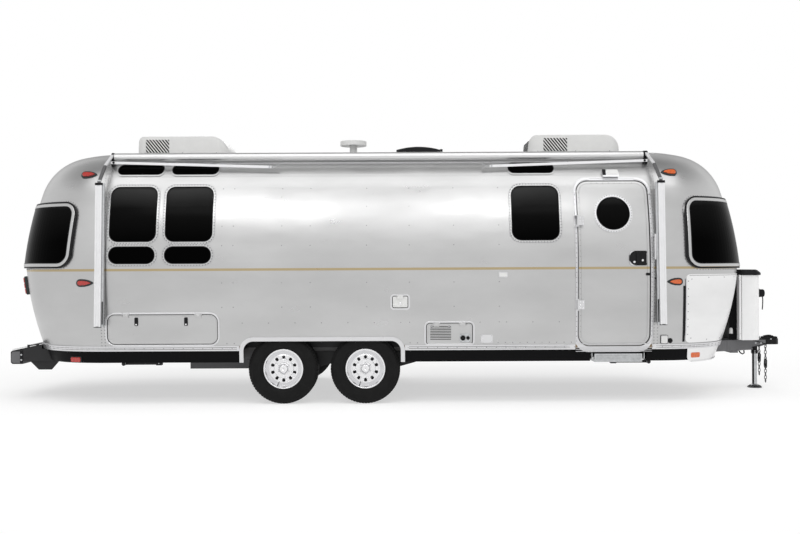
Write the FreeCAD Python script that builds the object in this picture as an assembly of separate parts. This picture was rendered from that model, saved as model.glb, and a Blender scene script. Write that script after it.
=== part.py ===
import FreeCAD, Part
import math
import os
from FreeCAD import Matrix, Vector

# Twin-axle riveted aluminium travel trailer, parked level on its four wheels and its nose jack.
# Millimetres. +X points to the coupler, +Z up, +Y to the road side; the entry door is on the -Y (kerb) side.
# Origin: on the ground, on the centreline, halfway between the rear bumper and the coupler's tip.
os.makedirs("parts", exist_ok=True)

# ---------------------------------------------------------------- driving dimensions
OVERALL_LENGTH = 8530.0
COUPLER_TIP_X = OVERALL_LENGTH / 2
BUMPER_X = -OVERALL_LENGTH / 2

# body section, from the flat on the roof down to the hem
BODY_HALF_WIDTH = 1270.0
BELT_Z = 1390.0
ROOF_Z = 2675.0
ROOF_FLAT = 200.0          # half width of the flat strip that carries the roof units
CROWN_TURN = 15.0          # degrees the roof turns down before the tight corner starts
WALL_TURN = 18.4           # degrees the wall leans in where the corner starts
WALL_RADIUS = 2600.0
LOWER_RADIUS = 7750.0
HEM_Z = 400.0              # where the outline's maths ends, below every piece cut from it
REAR_SEAM_X = -3105.0      # where the straight section meets the rear end shell
FRONT_SEAM_X = 2550.0
CAP_FULLNESS = 1.0         # weight of the plan curve's corner: 0.71 is an ellipse, more is squarer
# how far an end shell stands out from its seam at each level of the section
CAP_REACH = {"flat": 180.0, "crown": 340.0, "corner": 860.0, "upper": 1075.0,
             "belt": 1125.0, "lower": 1078.0, "hem": 847.0}

WALL = 40.0                # full thickness of walls, roof, doors and hatches
SKIN = 14.0                # outer layer of a door or hatch, wider than the layer behind it
REBATE = 12.0
LEAF_GAP = 7.0             # clearance round a closed hatch
FLOOR_Z = (563.0, 603.0)
ROOF_SEAM_Z = 2345.0
RAIL_Z = (553.0, 605.0)
RAIL_PROUD = 14.0
SKIRT_Z = (432.0, FLOOR_Z[0])
SKIRT_INSET = (12.0, 24.0)
PAN_Z = (437.0, 443.0)
FRAME_Z = (443.0, FLOOR_Z[0])
FAR = 9000.0

# running gear
TYRE_RADIUS = 359.5
TYRE_WIDTH = 222.0
RIM_RADIUS = 190.5
RIM_WIDTH = 165.0
TRACK_Y = 1090.0           # middle of a tyre
WHEEL_X = {"rear": -1286.0, "front": -441.0}
SIDES = {"kerb": -1, "road": 1}
SPINDLE_RADIUS = 22.0
RUNNING_GAP = 0.3
ARM_RUN = (147.0, 38.0)    # the axle tube stands this far ahead of and above the wheel's centre
AXLE_TUBE = 76.0

# wheel opening
ARCH_X = (-1686.0, -75.0)
ARCH_TOP_Z = 650.0
ARCH_CORNER = 100.0
ARCH_TRIM = 42.0
WELL_TOP_Z = 790.0
WELL_INNER_Y = 945.0
WELL_SHEET = 6.0

# chassis
RAIL_Y = (850.0, 900.0)
RAIL_X = (-3640.0, 2420.0)
BUMPER_ARM_Y = (640.0, 690.0)
DRAWBAR_ANGLE = 25.0
DRAWBAR_NOSE = (3950.0, 72.0)
DRAWBAR_WIDTH = 50.0
CROSS_X = (-3620.0, -2900.0, -1900.0, 60.0, 950.0, 1850.0, 2380.0)

# coupler and jack
COUPLER_Z = (498.0, 563.0)
COUPLER_HOUSING = (4090.0, 4250.0, 586.0)   # x low, x high and top of the raised part over the ball
TRAY_FRONT_X = -3764.0
BALL_RADIUS = 30.0
BALL_DEPTH = 48.0
COUPLER_BACK_X = 3940.0
JACK_X = 4000.0
JACK_TUBE = (32.0, 27.0)
JACK_LEG = 26.0
JACK_LEG_TOP_Z = 640.0
JACK_FOOT = (80.0, 12.0, 42.0)     # radius, thickness and top of its cone
JACK_TUBE_Z = (392.0, 1040.0)


# ---------------------------------------------------------------- small makers
MIN_CORNER = 2.0


def box(x, y, z):
    """A box from (low, high) pairs, in any order."""
    x, y, z = sorted(x), sorted(y), sorted(z)
    return Part.makeBox(x[1] - x[0], y[1] - y[0], z[1] - z[0], Vector(x[0], y[0], z[0]))


def rod(start, end, radius):
    """A round bar between two points."""
    start, end = Vector(*start), Vector(*end)
    return Part.makeCylinder(radius, (end - start).Length, start, end - start)


def bar(start, end, width, depth, across=(1, 0, 0)):
    """A rectangular bar between two points. across is the direction of its width."""
    start, end = Vector(*start), Vector(*end)
    along = (end - start).normalize()
    side = Vector(*across)
    side = (side - along * side.dot(along)).normalize()
    face = along.cross(side)
    corners = [start + side * (a * width / 2) + face * (b * depth / 2)
               for a, b in ((-1, -1), (1, -1), (1, 1), (-1, 1), (-1, -1))]
    return Part.Face(Part.makePolygon(corners)).extrude(end - start)


def plate(points, axis, low, high):
    """A flat plate: points are pairs on the two axes that are left, in X, Y, Z order."""
    low, high = min(low, high), max(low, high)
    at = {"x": lambda a, b: Vector(low, a, b), "y": lambda a, b: Vector(a, low, b),
          "z": lambda a, b: Vector(a, b, low)}[axis]
    along = {"x": Vector(1, 0, 0), "y": Vector(0, 1, 0), "z": Vector(0, 0, 1)}[axis]
    corners = [at(a, b) for a, b in points]
    return Part.Face(Part.makePolygon(corners + corners[:1])).extrude(along * (high - low))


def rounded(low, high, radius, origin, across, up):
    """The wire of a rectangle with round corners. low and high are pairs along across and up."""
    radius = max(MIN_CORNER, min(radius, (high[0] - low[0]) / 2 - 0.01, (high[1] - low[1]) / 2 - 0.01))
    corners = [(high[0], low[1], -90), (high[0], high[1], 0), (low[0], high[1], 90), (low[0], low[1], 180)]
    edges, last, first = [], None, None

    def at(a, b):
        return origin + across * a + up * b

    for a, b, start in corners:
        ca = a - radius if a == high[0] else a + radius
        cb = b - radius if b == high[1] else b + radius
        p = [at(ca + radius * math.cos(math.radians(start + t)), cb + radius * math.sin(math.radians(start + t)))
             for t in (0, 45, 90)]
        if last is not None:
            edges.append(Part.LineSegment(last, p[0]).toShape())
        else:
            first = p[0]
        edges.append(Part.Arc(*p).toShape())
        last = p[2]
    edges.append(Part.LineSegment(last, first).toShape())
    return Part.Wire(edges)


def side_prism(x, z, radius, side, grow=0.0):
    """A prism through one side wall with a round-cornered outline."""
    wire = rounded((x[0] - grow, z[0] - grow), (x[1] + grow, z[1] + grow), radius + grow,
                   Vector(0, 0, 0), Vector(1, 0, 0), Vector(0, 0, 1))
    return Part.Face(wire).extrude(Vector(0, side * 1.5 * BODY_HALF_WIDTH, 0))


def both(shape):
    """The shape and its mirror image on the other side."""
    return [shape, shape.mirror(Vector(0, 0, 0), Vector(0, 1, 0))]


def sided(shape, side):
    """A shape drawn on the +Y side, put on the given side."""
    return shape if side > 0 else shape.mirror(Vector(0, 0, 0), Vector(0, 1, 0))


def join(shapes):
    """One solid from shapes that meet."""
    shapes = list(shapes)
    return shapes[0].fuse(shapes[1:]).removeSplitter() if len(shapes) > 1 else shapes[0]


def export(name, *shapes):
    """Writes the solids of the shapes to one file."""
    solids = [s for shape in shapes for s in shape.Solids]
    Part.makeCompound(solids).exportStep("parts/" + name + ".step")
    print(name, len(solids), "solids", round(sum(s.Volume for s in solids) / 1e6, 2), "litres",
          "" if all(s.isValid() for s in solids) else "INVALID")


# ---------------------------------------------------------------- the body's outline
def polar(radius, degrees):
    return radius * math.cos(math.radians(degrees)), radius * math.sin(math.radians(degrees))


def section_arcs():
    """The section's joints (half width, z), its turning angles there, and the radii between them."""
    low_angle = -math.degrees(math.asin((BELT_Z - HEM_Z) / LOWER_RADIUS))
    angles = [90.0, 90.0 - CROWN_TURN, WALL_TURN, 0.0, low_angle]
    across, up = polar(WALL_RADIUS, WALL_TURN)
    top = (BODY_HALF_WIDTH - WALL_RADIUS + across, BELT_Z + up)
    wall, crown = polar(1, WALL_TURN), polar(1, 90.0 - CROWN_TURN)
    # the corner and crown radii are the two that close the outline on the roof's flat
    a, b, c, d = crown[1] - wall[1], 1 - crown[1], wall[0] - crown[0], crown[0]
    rise, run = ROOF_Z - top[1], top[0] - ROOF_FLAT
    corner_radius = (rise * d - run * b) / (a * d - b * c)
    crown_radius = (a * run - c * rise) / (a * d - b * c)
    crown_end = (top[0] - corner_radius * c, top[1] + corner_radius * a)
    hem = (BODY_HALF_WIDTH - LOWER_RADIUS + polar(LOWER_RADIUS, low_angle)[0], HEM_Z)
    joints = [(ROOF_FLAT, ROOF_Z), crown_end, top, (BODY_HALF_WIDTH, BELT_Z), hem]
    return joints, angles, [crown_radius, corner_radius, WALL_RADIUS, LOWER_RADIUS]


JOINTS, ANGLES, RADII = section_arcs()


def section(inset):
    """Joints and tangent corners (half width, z) of the section, moved inwards by inset."""
    joints = [(w - inset * polar(1, a)[0], z - inset * polar(1, a)[1]) for (w, z), a in zip(JOINTS, ANGLES)]
    corners = []
    for (w, z), radius, a, b in zip(joints, RADII, ANGLES, ANGLES[1:]):
        length = (radius - inset) * math.tan(math.radians(a - b) / 2)
        corners.append((w + length * polar(1, a)[1], z - length * polar(1, a)[0]))
    return joints, corners


def half_width(z):
    """Half width of the outer skin at a height."""
    for (w, top), low, radius, a in zip(JOINTS, JOINTS[1:], RADII, ANGLES):
        if z >= low[1]:
            centre = (w - polar(radius, a)[0], top - polar(radius, a)[1])
            return centre[0] + math.sqrt(radius ** 2 - (z - centre[1]) ** 2)
    return JOINTS[-1][0]


def reaches(inset):
    """Reach of an end shell from its seam at the section's joints and at its tangent corners."""
    joints, corners = section(inset)
    plain_joints, plain_corners = section(0.0)
    at = [CAP_REACH[k] - (p[0] - c[0]) for k, p, c in
          zip(("crown", "corner", "upper", "lower"), plain_corners, corners)]
    ends = [CAP_REACH[k] - (p[0] - j[0]) for k, p, j in
            zip(("flat", "", "", "belt", "hem"), plain_joints, joints) if k]

    def between(i):
        (low, high), z = (corners[i][1], corners[i + 1][1]), joints[i + 1][1]
        return at[i] + (at[i + 1] - at[i]) * (z - low) / (high - low)

    return [ends[0], between(0), between(1), ends[1], ends[2]], at


def conic(poles, weight):
    """A quarter of the plan, or an arc of the section, as one exact curve."""
    curve = Part.BSplineCurve()
    curve.buildFromPolesMultsKnots(poles, [3, 3], [0, 1], False, 2, [1, weight, 1])
    return curve.toShape()


def cap(inset, seam_x, sign):
    """An end of the body, solid, with its skin moved inwards by inset."""
    joints, corners = section(inset)
    reach, corner_reach = reaches(inset)
    bend = [math.cos(math.radians(a - b) / 2) for a, b in zip(ANGLES, ANGLES[1:])]
    faces, seam, flats = [], [], {0: [], 4: []}
    for side in (1, -1):
        for i in range(4):
            rows = ((joints[i], reach[i], 1.0), (corners[i], corner_reach[i], bend[i]),
                    (joints[i + 1], reach[i + 1], 1.0))
            poles = [[Vector(seam_x, side * w, z), Vector(seam_x + sign * e, side * w, z),
                      Vector(seam_x + sign * e, 0, z)] for (w, z), e, weight in rows]
            weights = [[weight, weight * CAP_FULLNESS, weight] for p, e, weight in rows]
            surface = Part.BSplineSurface()
            surface.buildFromPolesMultsKnots(poles, [3, 3], [3, 3], [0, 1], [0, 1], False, False, 2, 2, weights)
            faces.append(surface.toShape())
            seam.append(conic([row[0] for row in poles], bend[i]))
            for level, row in ((i, 0), (i + 1, 2)):
                if level in flats and len(flats[level]) < 2 and not (level == 4 and i < 3):
                    flats[level].append(conic(poles[row], CAP_FULLNESS))
    for level in flats:
        w, z = joints[level]
        line = Part.LineSegment(Vector(seam_x, w, z), Vector(seam_x, -w, z)).toShape()
        seam.append(line)
        faces.append(Part.Face(Part.Wire(Part.__sortEdges__(flats[level] + [line]))))
    faces.append(Part.Face(Part.Wire(Part.__sortEdges__(seam))))
    shell = Part.makeShell(faces)
    shell.sewShape()
    solid = Part.Solid(shell)
    if solid.Volume < 0:
        solid.reverse()
    return solid


def middle(inset):
    """The straight length of the body, solid, with its skin moved inwards by inset."""
    joints, corners = section(inset)
    edges = []
    for side in (1, -1):
        for i, radius in enumerate(RADII):
            centre = (joints[i][0] - polar(radius - inset, ANGLES[i])[0],
                      joints[i][1] - polar(radius - inset, ANGLES[i])[1])
            points = [polar(radius - inset, a) for a in (ANGLES[i], (ANGLES[i] + ANGLES[i + 1]) / 2, ANGLES[i + 1])]
            edges.append(Part.Arc(*[Vector(REAR_SEAM_X, side * (centre[0] + w), centre[1] + z)
                                    for w, z in points]).toShape())
    for w, z in (joints[0], joints[-1]):
        edges.append(Part.LineSegment(Vector(REAR_SEAM_X, w, z), Vector(REAR_SEAM_X, -w, z)).toShape())
    wire = Part.Wire(Part.__sortEdges__(edges))
    return Part.Face(wire).extrude(Vector(FRONT_SEAM_X - REAR_SEAM_X, 0, 0))


FORMS = {}


def form(part, inset):
    """The solid body's rear, middle or front, its skin moved inwards by inset. Kept once made."""
    if (part, inset) not in FORMS:
        FORMS[part, inset] = {"rear": lambda: cap(inset, REAR_SEAM_X, -1), "middle": lambda: middle(inset),
                              "front": lambda: cap(inset, FRONT_SEAM_X, 1)}[part]()
    return FORMS[part, inset]


def layer(part, outer, inner):
    """What lies between two insets of the skin."""
    key = (part, outer, inner)
    if key not in FORMS:
        FORMS[key] = form(part, outer).cut(form(part, inner))
    return FORMS[key]


def slab(inset, z):
    """The body's whole plan between two heights, in one piece."""
    cut = box((-FAR, FAR), (-FAR, FAR), z)
    return join([form(p, inset).common(cut) for p in ("rear", "middle", "front")])


def band(outer, inner, z):
    """A ring that follows the body's plan between two heights."""
    return slab(outer, z).cut(slab(inner, z))


# ---------------------------------------------------------------- windows, doors and hatches
# name, sides, x low, x high, z low, z high, corner radius
SIDE_WINDOWS = [
    ("bedroom rear", ("kerb", "road"), -3050, -2576, 1675, 2240, 85),
    ("bedroom front", ("kerb", "road"), -2478, -1999, 1675, 2240, 85),
    ("bedroom rear low", ("kerb", "road"), -3052, -2585, 1450, 1622, 82),
    ("bedroom front low", ("kerb", "road"), -2482, -2010, 1450, 1622, 82),
    ("lounge", ("kerb", "road"), 1068, 1551, 1673, 2234, 95),
    ("galley", ("road",), -760, 60, 1760, 2234, 85),
]
# x low, x high of the curved roof lights over the side windows
ROOF_LIGHTS = [(-3020, -2543), (-2454, -1971), (1054, 1529)]
ROOF_LIGHT_Z = (2376.0, 2492.0)
ROOF_LIGHT_CORNER = 55.0
GLASS = (4.0, 10.0)
FRAME_WIDTH = 24.0
ROOF_LIGHT_FRAME = FRAME_WIDTH - 8.0
FRAME_PROUD = 6.0

DOOR_X = (1743.0, 2467.0)
DOOR_Z = (592.0, 2283.0)
DOOR_CORNER = 115.0
DOOR_OPENING_X = (1735.0, 2477.0)
DOOR_OPENING_Z = (584.0, 2291.0)
DOOR_FRAME_X = (1709.0, 2494.0)
DOOR_FRAME_Z = (526.0, 2325.0)
DOOR_AXIS = (1732.0, -BODY_HALF_WIDTH - 14.0)
HINGE_Z = (1012.0, 1868.0)
HINGE_PIN = 5.0
PORTHOLE = (2106.0, 1945.0, 168.0)

# name, side, x low, x high, z low, z high, corner radius, middles of the hinges
HATCHES = [
    ("luggage_hatch_kerb", "kerb", -3070, -1950, 627, 925, 75, (-2880, -2140)),
    ("luggage_hatch_road", "road", -3070, -1950, 627, 925, 75, (-2880, -2140)),
    ("service_hatch", "kerb", 190, 655, 612, 825, 30, (290, 555)),
    ("filler_hatch", "kerb", -155, -4, 992, 1104, 12, (-79.5,)),
]
HATCH_FRAME = 18.0
HATCH_FRAME_PROUD = 5.0
HATCH_AXIS = (16.0, 7.0)   # the hinge's axis stands this far out from the skin and above the hatch
HATCH_PIN = 3.0
HATCH_KNUCKLE = (6.0, 28.0)   # radius and half length

END_WINDOWS = {"rear": (REAR_SEAM_X, -1, 1454.0, 2029.0), "front": (FRONT_SEAM_X, 1, 1425.0, 2055.0)}
END_PANE = (0.185, 0.79)   # where a wrap-round pane starts and ends along the plan curve
END_PANE_CORNER = 85.0
CENTRE_PANE = 400.0
CENTRE_PANE_CORNER = 60.0
END_FRAME_PROUD = 28.0
END_GLASS = (-END_FRAME_PROUD + 4.0, -END_FRAME_PROUD + 10.0)
PRISM_START = {"kerb": 250.0, "centre": 500.0}   # where the prisms of the end panes start
PRISM_LENGTH = 900.0


def cap_plan(part, t, z):
    """A point of an end shell's outer skin at a height, t from 0 at the seam to 1 at the tip."""
    seam_x, sign = END_WINDOWS[part][:2]
    levels = list(zip([j[1] for j in JOINTS], reaches(0.0)[0]))
    for (high, a), (low, b) in zip(levels, levels[1:]):
        if z >= low:
            reach = b + (a - b) * (z - low) / (high - low)
            break
    scale = (1 - t) ** 2 + 2 * t * (1 - t) * CAP_FULLNESS + t * t
    return (seam_x + sign * reach * (scale - (1 - t) ** 2) / scale, half_width(z) * (scale - t * t) / scale)


def end_prisms(part, grow=0.0):
    """The outlines of an end's three panes as prisms: kerb side, centre, road side."""
    seam_x, sign, low, high = END_WINDOWS[part]
    z = (low + high) / 2
    near, far = cap_plan(part, END_PANE[0], z), cap_plan(part, END_PANE[1], z)
    chord = Vector(far[0] - near[0], near[1] - far[1], 0)
    length = chord.Length
    chord.normalize()
    out = Vector(-chord.y * -sign, chord.x * -sign, 0)
    if out.y > 0:
        out = out * -1
    wire = rounded((-grow, low - grow), (length + grow, high + grow), END_PANE_CORNER + grow,
                   Vector(near[0], -near[1], 0) - out * PRISM_START["kerb"], chord, Vector(0, 0, 1))
    kerb = Part.Face(wire).extrude(out * PRISM_LENGTH)
    wire = rounded((-CENTRE_PANE - grow, low - grow), (CENTRE_PANE + grow, high + grow), CENTRE_PANE_CORNER + grow,
                   Vector(seam_x + sign * PRISM_START["centre"], 0, 0), Vector(0, 1, 0), Vector(0, 0, 1))
    centre = Part.Face(wire).extrude(Vector(sign * PRISM_LENGTH, 0, 0))
    return [kerb, centre, kerb.mirror(Vector(0, 0, 0), Vector(0, 1, 0))]


def leaf(x, z, radius, side):
    """A door or hatch as thick as the wall, with a rebated edge."""
    outer = side_prism(x, z, radius, side).common(layer("middle", 0.0, SKIN))
    inner = side_prism(x, z, radius, side, -REBATE).common(layer("middle", SKIN, WALL))
    return join([outer, inner])


def ring(x, z, radius, side, inner_grow, width, proud, part="middle"):
    """A frame that stands proud of the wall round an opening."""
    whole = side_prism(x, z, radius, side, inner_grow + width)
    hole = side_prism(x, z, radius, side, inner_grow)
    return whole.cut(hole).common(layer(part, -proud, 0.0))


def wall_ring():
    return form("middle", 0.0).cut(form("middle", WALL))


def arch_prism(side, grow=0.0):
    """The wheel opening in a side, open at the bottom."""
    return side_prism((ARCH_X[0], ARCH_X[1]), (0.0, ARCH_TOP_Z), ARCH_CORNER, side, grow)


def build_body():
    """Side walls, roof, end shells, windows, doors, hatches and their frames."""
    tube = wall_ring()
    for name, side in SIDES.items():
        wall = tube.common(box((-FAR, FAR), (0, side * FAR), (FLOOR_Z[1], ROOF_SEAM_Z)))
        holes = [side_prism((x0, x1), (z0, z1), r, side)
                 for label, sides, x0, x1, z0, z1, r in SIDE_WINDOWS if name in sides]
        holes += [side_prism((x0, x1), (z0, z1), r, side, LEAF_GAP)
                  for label, where, x0, x1, z0, z1, r, hinges in HATCHES if where == name]
        holes.append(arch_prism(side))
        holes.append(sided(well_box(WELL_SHEET), side).common(form("middle", SKIN)))
        if name == "kerb":
            holes.append(side_prism(DOOR_OPENING_X, DOOR_OPENING_Z, DOOR_CORNER + DOOR_EDGE, side))
        export("side_wall_" + name, wall.cut(Part.makeCompound(holes)))
    roof = tube.common(box((-FAR, FAR), (-FAR, FAR), (ROOF_SEAM_Z, FAR)))
    lights = [side_prism(x, ROOF_LIGHT_Z, ROOF_LIGHT_CORNER, side) for x in ROOF_LIGHTS for side in (-1, 1)]
    export("roof", roof.cut(Part.makeCompound(lights)))
    for part in ("rear", "front"):
        shell = layer(part, 0.0, WALL).common(box((-FAR, FAR), (-FAR, FAR), (FLOOR_Z[1], FAR)))
        export(part + "_end", shell.cut(Part.makeCompound(end_prisms(part))))


def build_windows():
    panes, frames = [], []
    for label, sides, x0, x1, z0, z1, r in SIDE_WINDOWS:
        for side in [SIDES[s] for s in sides]:
            panes.append(side_prism((x0, x1), (z0, z1), r, side).common(layer("middle", *GLASS)))
            frames.append(ring((x0, x1), (z0, z1), r, side, 0.0, FRAME_WIDTH, FRAME_PROUD))
    for x in ROOF_LIGHTS:
        for side in (-1, 1):
            panes.append(side_prism(x, ROOF_LIGHT_Z, ROOF_LIGHT_CORNER, side).common(layer("middle", *GLASS)))
            frames.append(ring(x, ROOF_LIGHT_Z, ROOF_LIGHT_CORNER, side, 0.0, ROOF_LIGHT_FRAME, FRAME_PROUD))
    for part in ("rear", "front"):
        for hole, whole in zip(end_prisms(part), end_prisms(part, FRAME_WIDTH)):
            panes.append(hole.common(layer(part, *END_GLASS)))
            frames.append(whole.cut(hole).common(layer(part, -END_FRAME_PROUD, 0.0)))
    export("window_glass", *panes)
    export("window_frames", *frames)


HINGE_HALF = 46.0                  # half height of a door hinge's knuckle
HINGE_RADIUS = 9.0
HINGE_LEAF = (1.0, 52.0)           # from the door's edge
HINGE_WING = (-9.0, -4.0)          # y off the axis
HINGE_BED = 4.0                    # how deep the blocks start behind the skin
HINGE_LUG = ((-25.0, 8.0), -8.0, (49.0, 59.0))   # x off the axis, y off the axis, z off the middle
# the hatch hinges' outlines: which point each is off, distance out, height off the hatch's top or the axis
HATCH_WING = [("skin", -3.0, -30.0), ("skin", 7.0, -30.0), ("axis", 6.0, 0.0), ("axis", -6.0, 0.0),
              ("skin", 4.0, -4.0), ("skin", -3.0, -4.0)]
HATCH_LUG = [("skin", 2.0, 3.0), ("skin", 2.0, 15.0), ("skin", 10.0, 15.0), ("axis", 6.0, 4.0),
             ("axis", 6.0, -5.0), ("axis", -5.0, -5.0)]
HATCH_LUG_X = (3.0, 9.0)           # beyond the knuckle's end


def door_hinge(z):
    """One hinge of the door: the knuckle on the leaf, and the lugs with the pin on the frame."""
    x, y = DOOR_AXIS
    bed = HINGE_BED - half_width(z)
    span = (z - HINGE_HALF, z + HINGE_HALF)
    leaf_x = [DOOR_X[0] + off for off in HINGE_LEAF]
    leaf_block = box(leaf_x, (y + HINGE_WING[1], bed), span)
    wing = box((x, leaf_x[1]), [y + off for off in HINGE_WING], span)
    moving = join([leaf_block, wing, rod((x, y, span[0]), (x, y, span[1]), HINGE_RADIUS)]).cut(form("middle", 0.0))
    lug_x, lug_y, (low, high) = HINGE_LUG
    moving = moving.cut(rod((x, y, z - high), (x, y, z + high), HINGE_PIN + RUNNING_GAP))
    lugs = [box([x + off for off in lug_x], (y + lug_y, bed), (z + s * low, z + s * high)) for s in (1, -1)]
    fixed = [lug.cut(form("middle", 0.0)) for lug in lugs] + [rod((x, y, z - high), (x, y, z + high), HINGE_PIN)]
    return moving, join(fixed)


def hatch_hinge(x, z, side):
    """One hinge over a hatch whose top is at z: the knuckle on the hatch, and the lugs with the pin on the frame."""
    skin = half_width(z)
    y, top = skin + HATCH_AXIS[0], z + HATCH_AXIS[1]
    radius, half = HATCH_KNUCKLE
    wing_from, lug_from = {"skin": (skin, z), "axis": (y, top)}, {"skin": (skin, top), "axis": (y, top)}
    wing = plate([(wing_from[point][0] + out, wing_from[point][1] + up) for point, out, up in HATCH_WING], "x",
                 x - half, x + half)
    moving = join([wing, rod((x - half, y, top), (x + half, y, top), radius)])
    moving = moving.cut(rod((x - half, y, top), (x + half, y, top), HATCH_PIN + RUNNING_GAP))
    outline = [(lug_from[point][0] + out, lug_from[point][1] + up) for point, out, up in HATCH_LUG]
    near, far = (half + beyond for beyond in HATCH_LUG_X)
    lugs = [plate(outline, "x", x + s * near, x + s * far) for s in (1, -1)]
    pin = rod((x - far, y, top), (x + far, y, top), HATCH_PIN)
    return sided(moving, side), sided(join(lugs + [pin]), side)


DOOR_EDGE = 6.0                    # what the corners of the opening and of the frame add to the door's
DOOR_FRAME_EDGE = 20.0
PORT_BEZEL = (30.0, 8.0)           # width and how far it stands out
LOCK_PLATE = ((2262.0, 2434.0), (1412.0, 1556.0), 30.0, 16.0)


def build_doors():
    side = SIDES["kerb"]
    x, z, r = PORTHOLE
    port = rod((x, 0, z), (x, side * FAR, z), r)
    export("entry_door", leaf(DOOR_X, DOOR_Z, DOOR_CORNER, side).cut(port))
    export("door_window", port.common(layer("middle", *GLASS)))
    wide, proud = PORT_BEZEL
    bezel = rod((x, 0, z), (x, side * FAR, z), r + wide).cut(port).common(layer("middle", -proud, 0.0))
    lock_x, lock_z, corner, proud = LOCK_PLATE
    lock = side_prism(lock_x, lock_z, corner, side).common(layer("middle", -proud, 0.0))
    hinges = [door_hinge(z) for z in HINGE_Z]
    export("door_fittings", bezel, lock, *[moving for moving, fixed in hinges])
    outer = side_prism(DOOR_FRAME_X, DOOR_FRAME_Z, DOOR_CORNER + DOOR_FRAME_EDGE, side)
    frame = outer.cut(side_prism(DOOR_OPENING_X, DOOR_OPENING_Z, DOOR_CORNER + DOOR_EDGE, side))
    frames = [join([frame.common(layer("middle", -FRAME_PROUD, 0.0))] + [fixed for moving, fixed in hinges])]
    for name, where, x0, x1, z0, z1, r, hinge_x in HATCHES:
        side = SIDES[where]
        hinges = [hatch_hinge(x, z1, side) for x in hinge_x]
        export(name, join([leaf((x0, x1), (z0, z1), r, side)] + [moving for moving, fixed in hinges]))
        frame = ring((x0, x1), (z0, z1), r, side, LEAF_GAP, HATCH_FRAME, HATCH_FRAME_PROUD)
        frame = frame.common(box((-FAR, FAR), (-FAR, FAR), (RAIL_Z[1], FAR)))
        frames.append(join([frame] + [fixed for moving, fixed in hinges]))
    export("door_and_hatch_frames", *frames)


# ---------------------------------------------------------------- floor, skirt, chassis
DOOR_NOTCH_GAP = 10.0
DOOR_NOTCH = box(DOOR_OPENING_X, (-FAR, -half_width(DOOR_Z[0]) + WALL + DOOR_NOTCH_GAP), (DOOR_OPENING_Z[0], FAR))
STEP_NOTCH_X = (1868.0, 2444.0)
STEP_NOTCH_TOP = 516.0
STEP_NOTCH_Y = -905.0
TRAY_NOTCH = (-3700.0, 762.0)      # front of the room for the bumper's tray, and its half width
NOSE_NOTCH = (3200.0, 470.0)       # rear of the room for the drawbar, and its half width
ARCH_INNER_Y = 900.0
PAN_WHEEL_GAP = (60.0, 180.0)      # the belly pan stops this far behind and ahead of the wheel opening
TANK = ((-2368.0, -1736.0), (-600.0, 600.0), 307.0)


def well_box(grow=0.0):
    """The space of a wheel well on the +Y side."""
    return box((ARCH_X[0] - grow, ARCH_X[1] + grow), (WELL_INNER_Y - grow, FAR), (0, WELL_TOP_Z + grow))


def build_base():
    wells = both(well_box(WELL_SHEET))
    floor = slab(0.0, FLOOR_Z)
    export("floor", floor.cut(Part.makeCompound(wells + [DOOR_NOTCH])))
    sheet = well_box(WELL_SHEET).cut(well_box()).common(form("middle", SKIN)).common(
        box((-FAR, FAR), (0, FAR), (FLOOR_Z[0], FAR)))
    export("wheel_boxes", *both(sheet))
    arches = [box((ARCH_X[0] - ARCH_TRIM, ARCH_X[1] + ARCH_TRIM), (s * ARCH_INNER_Y, s * FAR), (0, FAR))
              for s in (1, -1)]
    rail = band(-RAIL_PROUD, 0.0, RAIL_Z).cut(Part.makeCompound(arches + [
        box(DOOR_FRAME_X, (-FAR, 0), (0, FAR)), drawbar(1), drawbar(-1)]))
    export("rub_rail", rail)
    trims = []
    for side in (1, -1):
        lip = arch_prism(side, ARCH_TRIM).cut(arch_prism(side)).common(
            layer("middle", -RAIL_PROUD, 0.0)).common(box((-FAR, FAR), (-FAR, FAR), (SKIRT_Z[0], FAR)))
        trims.append(lip)
    export("arch_trims", *trims)
    skirt = band(*SKIRT_INSET, SKIRT_Z)
    tray = box((-FAR, TRAY_NOTCH[0]), (-TRAY_NOTCH[1], TRAY_NOTCH[1]), (0, FAR))
    nose = box((NOSE_NOTCH[0], FAR), (-NOSE_NOTCH[1], NOSE_NOTCH[1]), (0, FAR))
    step = box(STEP_NOTCH_X, (-FAR, 0), (0, STEP_NOTCH_TOP))
    export("skirt", skirt.cut(Part.makeCompound(arches + [tray, nose, step])))
    gaps = [box((ARCH_X[0] - PAN_WHEEL_GAP[0], ARCH_X[1] + PAN_WHEEL_GAP[1]), (s * ARCH_INNER_Y, s * FAR), (0, FAR))
            for s in (1, -1)]
    step = box(STEP_NOTCH_X, (-FAR, STEP_NOTCH_Y), (0, FAR))
    pan = slab(SKIRT_INSET[1], PAN_Z).cut(Part.makeCompound(gaps + [tray, nose, step]))
    export("belly_pan", join([pan, box(TANK[0], TANK[1], (TANK[2], PAN_Z[1]))]))


DRAWBAR_BACK_X = 2360.0
DRAWBAR_LAP = 40.0
RAIL_SHEET = (6.0, 44.0)           # thickness of a side rail's sheet, and how deep its channel is
CROSS_HALF = 20.0                  # half width of a cross member
CROSS_LAP = 2.0
FRONT_CROSS = ((3560.0, 3600.0), 270.0, 10.0)   # x, half width, how far inside the frame's height
NOSE_PLATE = ((3690.0, COUPLER_BACK_X), 260.0, 6.0)
NOSE_BLOCK = (20.0, 110.0)
POWER_BOX = ((3650.0, 3735.0), 215.0, 25.0)
HOUSING_HALF = (44.0, 38.0)        # half width of the coupler's raised part at its rear and front
LATCH = (20.0, 94.0, 12.0, 20.0, 11.0)   # x from, x to, height there, height here, half width
BALL_SETBACK = 62.0


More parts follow.
